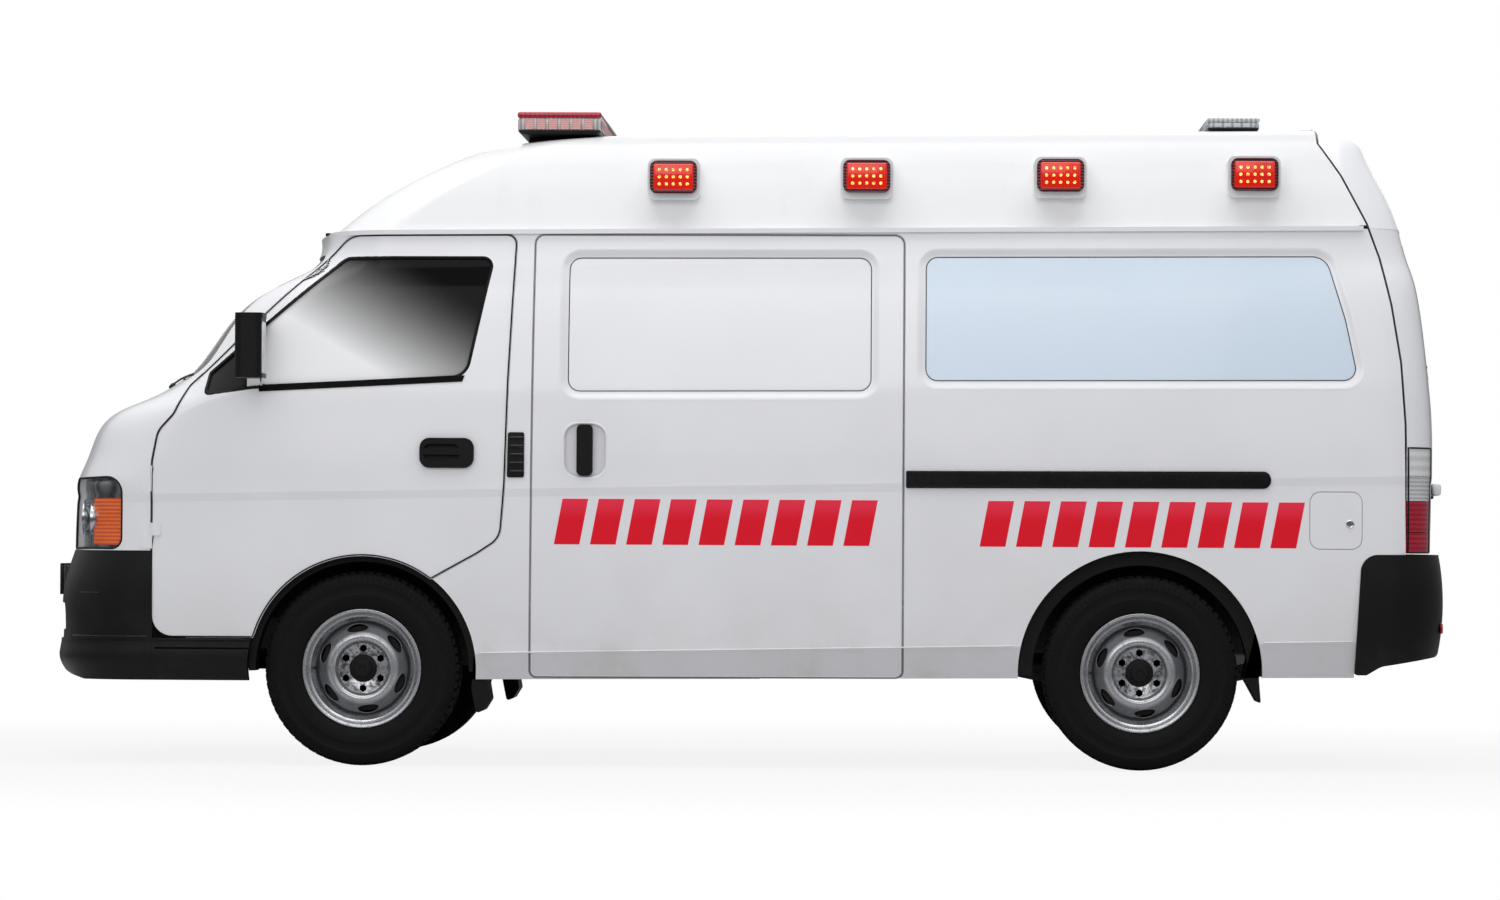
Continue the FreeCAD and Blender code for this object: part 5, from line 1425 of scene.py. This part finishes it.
for side, prefix in ((-1, "left"), (1, "right")):
    skin = outerSkin("headlamps", side)
    place(prefix + "_lampEdge", lampEdge(skin, 0.0042, "lampOutline", 0.004), "lampOutline", "body")
    amber = skin.copy()
    bowl = skin.copy()
    first = side < 0                   # the left lamp replaces the CAD node, which holds both
    lens = solid(thickened(skin, 0.0004, 0.0025))
    place(prefix + "_headLens", lens, "headLens", "body", *(["headlamps"] if first else []))
    place(prefix + "_reflector", solid(thickened(bowl, 0.026, 0.003)), "flutedChrome", "body")
    low, high, under, over = lampSets["amber"]
    sliced(sliced(amber, 0, low, high), 2, under, over)
    place(prefix + "_amber", solid(thickened(amber, 0.0045, 0.012)), "lampAmber", "body")
    for i, (x, y, z, radius) in enumerate(lampSets["bowls"]):
        cup = turned([(0.0, radius * 1.02), (0.0, radius), (0.012, radius * 0.90), (0.028, radius * 0.66),
                      (0.038, radius * 0.30), (0.040, 0.0), (0.046, 0.0), (0.044, radius * 0.34),
                      (0.032, radius * 0.74), (0.014, radius * 0.98), (0.004, radius * 1.04),
                      (0.0, radius * 1.02)], (0, 0, 0), (1, 0, 0), 40)
        x = (frontAt(side * y, z) or x) + 0.016
        cup.transform(Matrix.Translation((x, side * y, z)))
        bmesh.ops.remove_doubles(cup, verts=cup.verts, dist=1e-6)
        facedOut(cup)
        place("%s_bowl%d" % (prefix, i), solid(cup), "chrome", "body")
        bulb = turned([(0.0, 0.0), (0.003, 0.006), (0.010, 0.0085), (0.022, 0.0085), (0.030, 0.005),
                       (0.034, 0.0)], (0, 0, 0), (1, 0, 0), 20)
        bulb.transform(Matrix.Translation((x + 0.004, side * y, z)))
        place("%s_bulb%d" % (prefix, i), solid(bulb, 60), "lampClear", "body")

    skin = outerSkin("tail_lamps", side)
    place(prefix + "_tailEdge", lampEdge(skin, 0.0030, "sealRubber", 0.0028), "sealRubber", "body")
    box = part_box("tail_lamps")
    split, clear = lampSets["tailSplits"]
    levels = [("tailStop", box[0].z - 0.01, split - 0.0012, "lampRed"),
              ("tailMarker", split + 0.0012, clear - 0.0012, "lampRed"),
              ("tailTurn", clear + 0.0012, 1.030, "lampClear"),
              ("tailTop", 1.0312, box[1].z + 0.01, "lampFrost")]
    for label, low, high, finish in levels:
        piece = sliced(skin.copy(), 2, low, high)
        place("%s_%s" % (prefix, label), solid(thickened(piece, 0.0004, 0.012)), finish, "body",
              *(["tail_lamps"] if first and label == "tailStop" else []))
    place(prefix + "_tailBack", solid(thickened(skin, 0.0135, 0.02)), "sealRubber", "body")
print("corner lamps made")


# front and rear: plates, meshes, wipers, tailgate

ends = {"plateY": 0.260, "plateZ": (0.588, 0.698), "intake": 0.52, "reflectorY": 0.66}
grilleTree = treeOf(["grille"])


def frontPlate():
    x = min(frontAt(y, 0.64) for y in (-0.2, 0.0, 0.2)) - 0.0045
    bm = bmesh.new()
    for low, high in (((-0.262, 0.587), (0.262, 0.594)), ((-0.262, 0.692), (0.262, 0.699)),
                      ((-0.262, 0.587), (-0.254, 0.699)), ((0.254, 0.587), (0.262, 0.699))):
        addBox(bm, (x - 0.002, low[0], low[1]), (x + 0.012, high[0], high[1]), 0.002, 2)
    place("plateFrame", solid(bm), "blackPlastic", "body")
    low, high = ends["plateZ"]
    half = ends["plateY"] - 0.01
    plate = roundedBox((x, -half, low + 0.004), (x + 0.012, half, high - 0.004), 0.008, 3, (0,))
    place("frontPlate", solid(plate), "plate", "body")
    head = [(0.002, 0.0), (0.002, 0.007), (-0.001, 0.006), (-0.002, 0.0)]
    screws = [solid(turned(head, (x, y, 0.672), (1, 0, 0), 14)) for y in (-0.17, 0.17)]
    place("plateScrews", joined(screws), "zinc", "body")


frontPlate()

# ribs behind the grille, and a mesh behind the lower intake
mesh = {"ribLevels": (0.822, 0.848, 0.874, 0.900), "ribs": 24, "ribStart": -0.378, "ribPitch": 0.0315,
        "bars": 30, "barStart": -0.50, "barPitch": 0.0345, "barBow": 0.12,
        "levels": (0.475, 0.498, 0.521, 0.544)}
bm = bmesh.new()
for z in mesh["ribLevels"]:
    for k in range(mesh["ribs"]):
        y = mesh["ribStart"] + k * mesh["ribPitch"]
        x = frontAt(y, z - 0.012, grilleTree) or nose + 0.06
        addBox(bm, (x + 0.020, y - 0.0035, z - 0.009), (x + 0.030, y + 0.0035, z + 0.009), 0.001, 1)
place("grilleRibs", toMesh(bm), "railBlack", "body")
bm = bmesh.new()
for k in range(mesh["bars"]):
    y = mesh["barStart"] + k * mesh["barPitch"]
    x = nose + 0.118 + abs(y) * abs(y) * mesh["barBow"]
    addBox(bm, (x, y - 0.003, 0.452), (x + 0.012, y + 0.003, 0.566), 0.001, 1)
for z in mesh["levels"]:
    addBox(bm, (nose + 0.120, -ends["intake"], z - 0.003), (nose + 0.150, ends["intake"], z + 0.003),
           0.001, 1)
place("intakeMesh", toMesh(bm), "railBlack", "body")
place("intakeBack", toMesh(roundedBox((nose + 0.150, -0.565, 0.440), (nose + 0.158, 0.565, 0.575), 0.002, 1)),
      "blackPlastic", "body")


def windowSeal(name, node, axis, radius, body, push):   # on a window seen from the front or the rear
    points = thinned(loopsOf(skinOf(node, axis, 0.2))[0], 0.015)
    points = [p + Vector(axis).normalized() * push for p in points]
    place(name, bead(points, radius, "sealRubber"), "sealRubber", body)


windowSeal("screenSeal", "windscreen", (-1, 0, 0.6), 0.0050, "body", 0.0)
windowSeal("gateSeal", "tailgate_glass", (1, 0, 0.15), 0.0080, "tailgate", 0.003)


def wiper(name, root, tip, ends, surface, body):
    # arm from a spindle to the middle of its blade; the blade lies on the glass
    arm = bead([root, root.lerp(tip, 0.2) + surface * 0.008, root.lerp(tip, 0.6) + surface * 0.006, tip],
               0.0045, "railBlack", 0.6, False)
    hub = turned([(-0.012, 0.0), (-0.012, 0.014), (0.010, 0.014), (0.014, 0.009), (0.014, 0.0)],
                 root, surface, 20)
    blade = bead(ends, 0.0045, "railBlack", 0.6, False)
    place(name, joined([arm, toMesh(hub), blade]), "railBlack", body)


screenTree = treeOf(["windscreen", "front_panel"])
gateTree = treeOf(["tailgate", "tailgate_glass"])


def above(tree, y, z, end, lift):      # a point over what shows from the front or the rear
    spot, normal = fromEnd(tree, y, z, end)[:2]
    return spot + normal * lift


def onScreen(y, z, lift):
    return above(screenTree, y, z, -1, lift)


def onGate(y, z, lift):
    return above(gateTree, y, z, 1, lift)


outwards = Vector((-0.72, 0, 0.69))
for name, rootY, tipY in (("wiperLeft", -0.18, -0.42), ("wiperRight", 0.42, 0.18)):
    blade = [onScreen(rootY - 0.02 - 0.42 * k / 8, 1.358 + 0.010 * k / 8, 0.006) for k in range(9)]
    wiper(name, onScreen(rootY, 1.335, 0.004), onScreen((rootY + tipY) / 2, 1.368, 0.008), blade, outwards,
          "body")
backwards = Vector((1, 0, 0.16)).normalized()
blade = [onGate(0.05 - 0.055 * k, 1.392 + 0.004 * k, 0.009) for k in range(9)]
wiper("rearWiper", onGate(0.0, 1.350, 0.004), onGate(-0.16, 1.405, 0.012), blade, backwards, "tailgate")

# defroster lines on the rear glass
defroster = {"count": 9, "low": 1.450, "pitch": 0.040, "half": 0.545, "taper": 0.16}
lines = []
for k in range(defroster["count"]):
    z = defroster["low"] + defroster["pitch"] * k
    half = defroster["half"] - defroster["taper"] * (z - 1.42) / 0.42
    row = [onGate(-half + 2 * half * i / 10, z, 0.0004) for i in range(11)]
    lines.append(bead(row, 0.0009, "lineBrown", 1.0, False, 4))
place("defroster", joined(lines), "lineBrown", "tailgate")


def gatePlate(name, halfY, low, high, lift, thick, radius, finish):
    bm = bmesh.new()
    path = roundedOutline([(-halfY, low, radius), (halfY, low, radius), (halfY, high, radius),
                           (-halfY, high, radius)], 6)
    near = [bm.verts.new(onGate(p.x, p.y, lift)) for p in path]
    centre = bm.verts.new(onGate(0.0, (low + high) / 2, lift))
    for a, b in zip(near, near[1:] + near[:1]):
        bm.faces.new((a, b, centre))
    facedOut(bm)
    if bm.faces[:][0].normal.x < 0:
        bmesh.ops.reverse_faces(bm, faces=bm.faces)
    bmesh.ops.solidify(bm, geom=bm.faces[:], thickness=thick)
    place(name, solid(facedOut(bm)), finish, "tailgate")


gatePlate("plateRecess", 0.31, 0.830, 1.015, 0.003, 0.006, 0.04, "blackPlastic")
gatePlate("rearPlate", 0.235, 0.842, 0.952, 0.006, 0.005, 0.010, "plate")
gateX = onGate(0, 1.000, 0.0).x
garnish = roundedBox((gateX - 0.004, -0.30, 0.968), (gateX + 0.030, 0.30, 1.012), 0.012, 4)
place("gateGarnish", solid(garnish, 45), "whitePaint", "tailgate")
grip = roundedBox((gateX + 0.006, -0.085, 0.958), (gateX + 0.024, 0.085, 0.974), 0.004, 2)
place("gateHandle", solid(grip, 45), "blackPlastic", "tailgate")
lock = turned([(-0.003, 0.0), (-0.003, 0.012), (0.003, 0.012), (0.0045, 0.010), (0.0040, 0.006),
               (0.0025, 0.0)], onGate(0.0, 1.045, 0.0), (1, 0, 0), 24)
place("gateLock", solid(lock), "chrome", "tailgate")
rearTree = treeOf(["tailgate", "tailgate_glass", "rear_bumper"])
for side, label in ((-1, "leftReflector"), (1, "rightReflector")):
    y = side * ends["reflectorY"]
    x = fromEnd(rearTree, y, 0.50, 1)[0].x
    place(label, solid(roundedBox((x - 0.006, y - 0.05, 0.482), (x + 0.004, y + 0.05, 0.518), 0.004, 2), 45),
          "lampRed", "body")

# mirror glasses, two lines on the bumper and ribs on the door steps
for side, prefix in ((-1, "left"), (1, "right")):
    low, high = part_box(prefix + "_mirror")
    shell = treeOf([prefix + "_mirror"])
    y = side * (max(abs(low.y), abs(high.y)) - 0.075)
    hits = [shell.ray_cast(Vector((high.x + 0.5, y, low.z + (high.z - low.z) * share)), Vector((-1, 0, 0)))
            for share in (0.4, 0.5, 0.6)]
    back = max(hit[0].x for hit in hits if hit[0])
    glass = roundedBox((back - 0.004, y - 0.058, low.z + 0.030), (back + 0.002, y + 0.058, high.z - 0.030),
                       0.020, 5, (0,))
    place(prefix + "_mirrorGlass", solid(glass), "mirrorGlass", prefix + "_front_door")
bumperTree = treeOf(["front_bumper", "door_steps"])
for name, level, first, last, radius in (("bumperLedge", 0.4480, nose + 0.13, nose + 0.80, 0.0022),
                                         ("bumperCrease", 0.600, nose + 0.16, nose + 0.24, 0.0020)):
    xs = [first + (last - first) * k / 40 for k in range(41)]
    run = [Vector((x, skinAt(x, level, bumperTree) - 0.0004, level)) for x in xs
           if skinAt(x, level, bumperTree)]
    bothSides(name, bead(run, radius, "railBlack", 1.0, False), "railBlack")
low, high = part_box("door_steps")
bm = bmesh.new()
for k in range(60):
    x = low.x + 0.02 + (high.x - low.x - 0.04) * k / 59
    y = skinAt(x, 0.4330, bumperTree)
    if y:
        addBox(bm, (x - 0.0022, y - 0.0012, 0.4275), (x + 0.0022, y + 0.004, 0.4395), 0.0006, 1)
bothSides("stepRibs", toMesh(bm), "railBlack")
print("front and rear dressed")


# cushions

cushions = {"cuts": 34, "radius": 0.045, "crown": 0.016, "grooveDepth": 0.009, "grooveWidth": 0.016,
            "piping": 0.0035, "wrinkle": 0.0022}


def cushion(size, grooves, crown=cushions["crown"], radius=cushions["radius"]):
    # a stuffed block about its own centre: crowned on every face, pulled in along the grooves.
    # grooves are (axis, place) pairs, place as a part of the half size, on the two large faces
    bm = bmesh.new()
    bmesh.ops.create_cube(bm, size=2.0)
    bmesh.ops.subdivide_edges(bm, edges=bm.edges[:], cuts=cushions["cuts"], use_grid_fill=True)
    half = Vector(size) / 2
    thin = min(range(3), key=lambda k: half[k])
    radius = min(radius, half[thin] * 0.9)
    for vert in bm.verts:
        unit = vert.co.copy()
        spot = Vector(unit[k] * half[k] for k in range(3))
        core = Vector(max(-half[k] + radius, min(half[k] - radius, spot[k])) for k in range(3))
        away = spot - core
        if away.length > 1e-7:
            spot = core + away.normalized() * radius
        fall = [1 - unit[k] ** 2 for k in range(3)]
        across = [k for k in range(3) if k != thin]
        if abs(unit[thin]) > 0.9999:
            rise = crown * (fall[across[0]] * fall[across[1]]) ** 0.5
            for axis, place in grooves:
                gap = (unit[axis] - place) * half[axis] / cushions["grooveWidth"]
                other = [k for k in across if k != axis][0]
                rise -= cushions["grooveDepth"] * math.exp(-gap * gap) * min(1, fall[other] * 4)
            rise += cushions["wrinkle"] * math.sin(unit[across[0]] * 9 + unit[across[1]] * 4) \
                * (1 - fall[across[0]] * fall[across[1]]) * fall[across[0]] * fall[across[1]] * 3
            spot[thin] += rise * (1 if unit[thin] > 0 else -1)
        else:
            for k in across:
                if abs(unit[k]) > 0.9999:
                    other = [m for m in range(3) if m != k]
                    spot[k] += (1 if unit[k] > 0 else -1) * crown * 0.4 * fall[other[0]] * fall[other[1]]
        vert.co = spot
    mesh = solid(facedOut(bm), 60)
    rims = []
    for sign in (-1, 1):
        a, b = [k for k in range(3) if k != thin]
        path = roundedOutline([(u * (half[a] - radius * 0.29), v * (half[b] - radius * 0.29), radius)
                               for u, v in ((-1, -1), (1, -1), (1, 1), (-1, 1))], 6)
        points = []
        for p in path:
            spot = Vector((0, 0, 0))
            spot[a], spot[b], spot[thin] = p.x, p.y, sign * (half[thin] - radius * 0.29)
            points.append(spot)
        rims.append(bead(points, cushions["piping"], "seatPiping", 1.0, True, 6))
    return mesh, joined(rims)


def upholster(name, size, place0, turn, fill, grooves=(), finish="seatFabric", replaced=(), **shape):
    body, piping = cushion(size, grooves, **shape)
    spot = Matrix.Translation(place0) @ Matrix.Rotation(turn, 4, "Y")
    soft = place(name, moved(body, spot), finish, "body", *replaced)
    place(name + "Piping", moved(piping, spot), "seatPiping", "body")


seatLow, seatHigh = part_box("front_seats")
seat = {"width": 0.500, "lean": math.radians(12), "front": 0.190, "foot": 0.435, "cushionDrop": 0.640,
        "footDrop": 0.600, "backUp": 0.235, "restUp": 0.535, "baseDrop": 0.702,
        "grooves": ((1, -0.55), (1, 0.55))}
seatY = seatHigh.y - seat["width"] / 2
up = Vector((math.sin(seat["lean"]), 0, math.cos(seat["lean"])))
for side, prefix in ((-1, "left"), (1, "right")):
    y = side * seatY
    upholster(prefix + "SeatCushion", (0.500, seat["width"], 0.135),
              (frontAxle + seat["front"], y, seatHigh.z - seat["cushionDrop"]), 0.0, 0.85,
              seat["grooves"] + ((0, 0.1),))
    foot = Vector((frontAxle + seat["foot"], y, seatHigh.z - seat["footDrop"]))
    upholster(prefix + "SeatBack", (0.120, seat["width"] - 0.02, 0.440), foot + up * seat["backUp"],
              seat["lean"], 0.85, seat["grooves"] + ((2, -0.2),))
    upholster(prefix + "HeadRest", (0.095, 0.270, 0.125), foot + up * seat["restUp"], seat["lean"], 0.8)
    posts = []
    for dy in (-0.05, 0.05):
        rod = [foot + up * height + Vector((0, dy, 0)) for height in (0.44, 0.50)]
        posts.append(bead(rod, 0.006, "chrome", 1.0, False))
    place(prefix + "HeadPosts", joined(posts), "chrome", "body")

# the CAD seats' lower bases stay; their padding is cut away
base = sliced(merged("front_seats"), 2, seatLow.z - 0.01, seatHigh.z - seat["baseDrop"])
bmesh.ops.holes_fill(base, edges=openEdges(base), sides=0)
place("seatBases", solid(facedOut(base), 30), "interiorPlastic", "body", "front_seats")

benchLow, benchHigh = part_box("side_bench")
middle = ((benchLow.x + benchHigh.x) / 2, (benchLow.y + benchHigh.y) / 2)
length, depth = benchHigh.x - benchLow.x - 0.04, benchHigh.y - benchLow.y - 0.05
for k in range(3):
    share = length / 3
    upholster("benchPad%d" % k, (share - 0.008, depth, 0.070),
              (middle[0] + (k - 1) * share, middle[1] - 0.005, benchHigh.z + 0.036), 0.0, 0.85,
              ((0, 0.0),), "padVinyl", radius=0.028, crown=0.010)
print("cushions made")


# floor, light and background

studio = {"floorSize": 26.0, "clearFrom": 1.8, "clearTo": 4.5, "stretch": 0.35, "domeLight": 0.60,
          "floorTone": "C4C4C6", "floorGlow": 0.88, "skyTone": (0.97, 0.98, 1, 1), "horizon": (-0.05, 0.55),
          "lights": {"overhead": ((0, -1.5, 7.5), (0, 0, 1), (9, 5), 300),
                     "leftSide": ((-2, -11, 5.5), (0, 0, 1.2), (9, 4), 170),
                     "rightSide": ((2, 10, 5.5), (0, 0, 1.2), (9, 4), 136)}}


def makeFloor():
    bm = bmesh.new()
    bmesh.ops.create_grid(bm, x_segments=2, y_segments=2, size=studio["floorSize"])
    floor = linked("floor", toMesh(bm))
    material = bpy.data.materials.new("floor")
    material.use_nodes = True
    t = Tree(material.node_tree)
    t.tree.nodes.clear()
    x, y = t.axes(t.add("ShaderNodeTexCoord", out="Object"))[:2]
    fade = (x * x * studio["stretch"] + y * y).math("SQRT").ease(studio["clearFrom"], studio["clearTo"])
    ray = t.add("ShaderNodeLightPath", out="Is Camera Ray")
    matt = t.add("ShaderNodeBsdfDiffuse", {}, {"Color": (*shade(studio["floorTone"]), 1)}, "BSDF")
    white = t.add("ShaderNodeEmission", {}, {"Color": (1, 1, 1, 1), "Strength": 1.0}, "Emission")
    lifted = t.add("ShaderNodeMixShader", {}, {0: studio["floorGlow"], 1: matt, 2: white})
    seen = t.add("ShaderNodeMixShader", {}, {0: ray, 1: matt, 2: lifted})
    clear = t.add("ShaderNodeBsdfTransparent", {}, {}, "BSDF")
    final = t.add("ShaderNodeMixShader", {}, {0: fade, 1: seen, 2: clear})
    t.surface("ShaderNodeOutputMaterial", final.socket)
    floor.data.materials.append(material)


def makeWorld():
    world = bpy.data.worlds.new("studio")
    world.use_nodes = True
    bpy.context.scene.world = world
    t = Tree(world.node_tree)
    t.tree.nodes.clear()
    path = t.tree.nodes.new("ShaderNodeLightPath")
    camera, glossy, through = (Wire(t, path.outputs[k]) for k in
                               ("Is Camera Ray", "Is Glossy Ray", "Is Transmission Ray"))
    seen = (camera + through).math("MINIMUM", 1.0)
    height = t.axes(t.add("ShaderNodeTexCoord", out="Generated"))[2].ease(*studio["horizon"])
    mirrored, dome, white = (t.add("ShaderNodeBackground", {}, {"Color": tone, "Strength": strength})
                             for tone, strength in ((studio["skyTone"], height * 0.85 + 0.12),
                                                    (studio["skyTone"], studio["domeLight"]),
                                                    ((1, 1, 1, 1), 1.0)))
    lit = t.add("ShaderNodeMixShader", {}, {0: glossy, 1: dome, 2: mirrored})
    mixed = t.add("ShaderNodeMixShader", {}, {0: seen, 1: lit, 2: white})
    t.surface("ShaderNodeOutputWorld", mixed.socket)


def areaLight(name, spot, aim, size, power):
    light = bpy.data.lights.new(name, "AREA")
    light.shape = "RECTANGLE"
    light.size, light.size_y = size
    light.energy = power
    lamp = linked(name, light)
    lamp.location = spot
    lamp.rotation_euler = (Vector(aim) - Vector(spot)).to_track_quat("-Z", "Y").to_euler()


makeFloor()
makeWorld()
for name, (spot, aim, size, power) in studio["lights"].items():
    areaLight(name, spot, aim, size, power)
print("studio made")
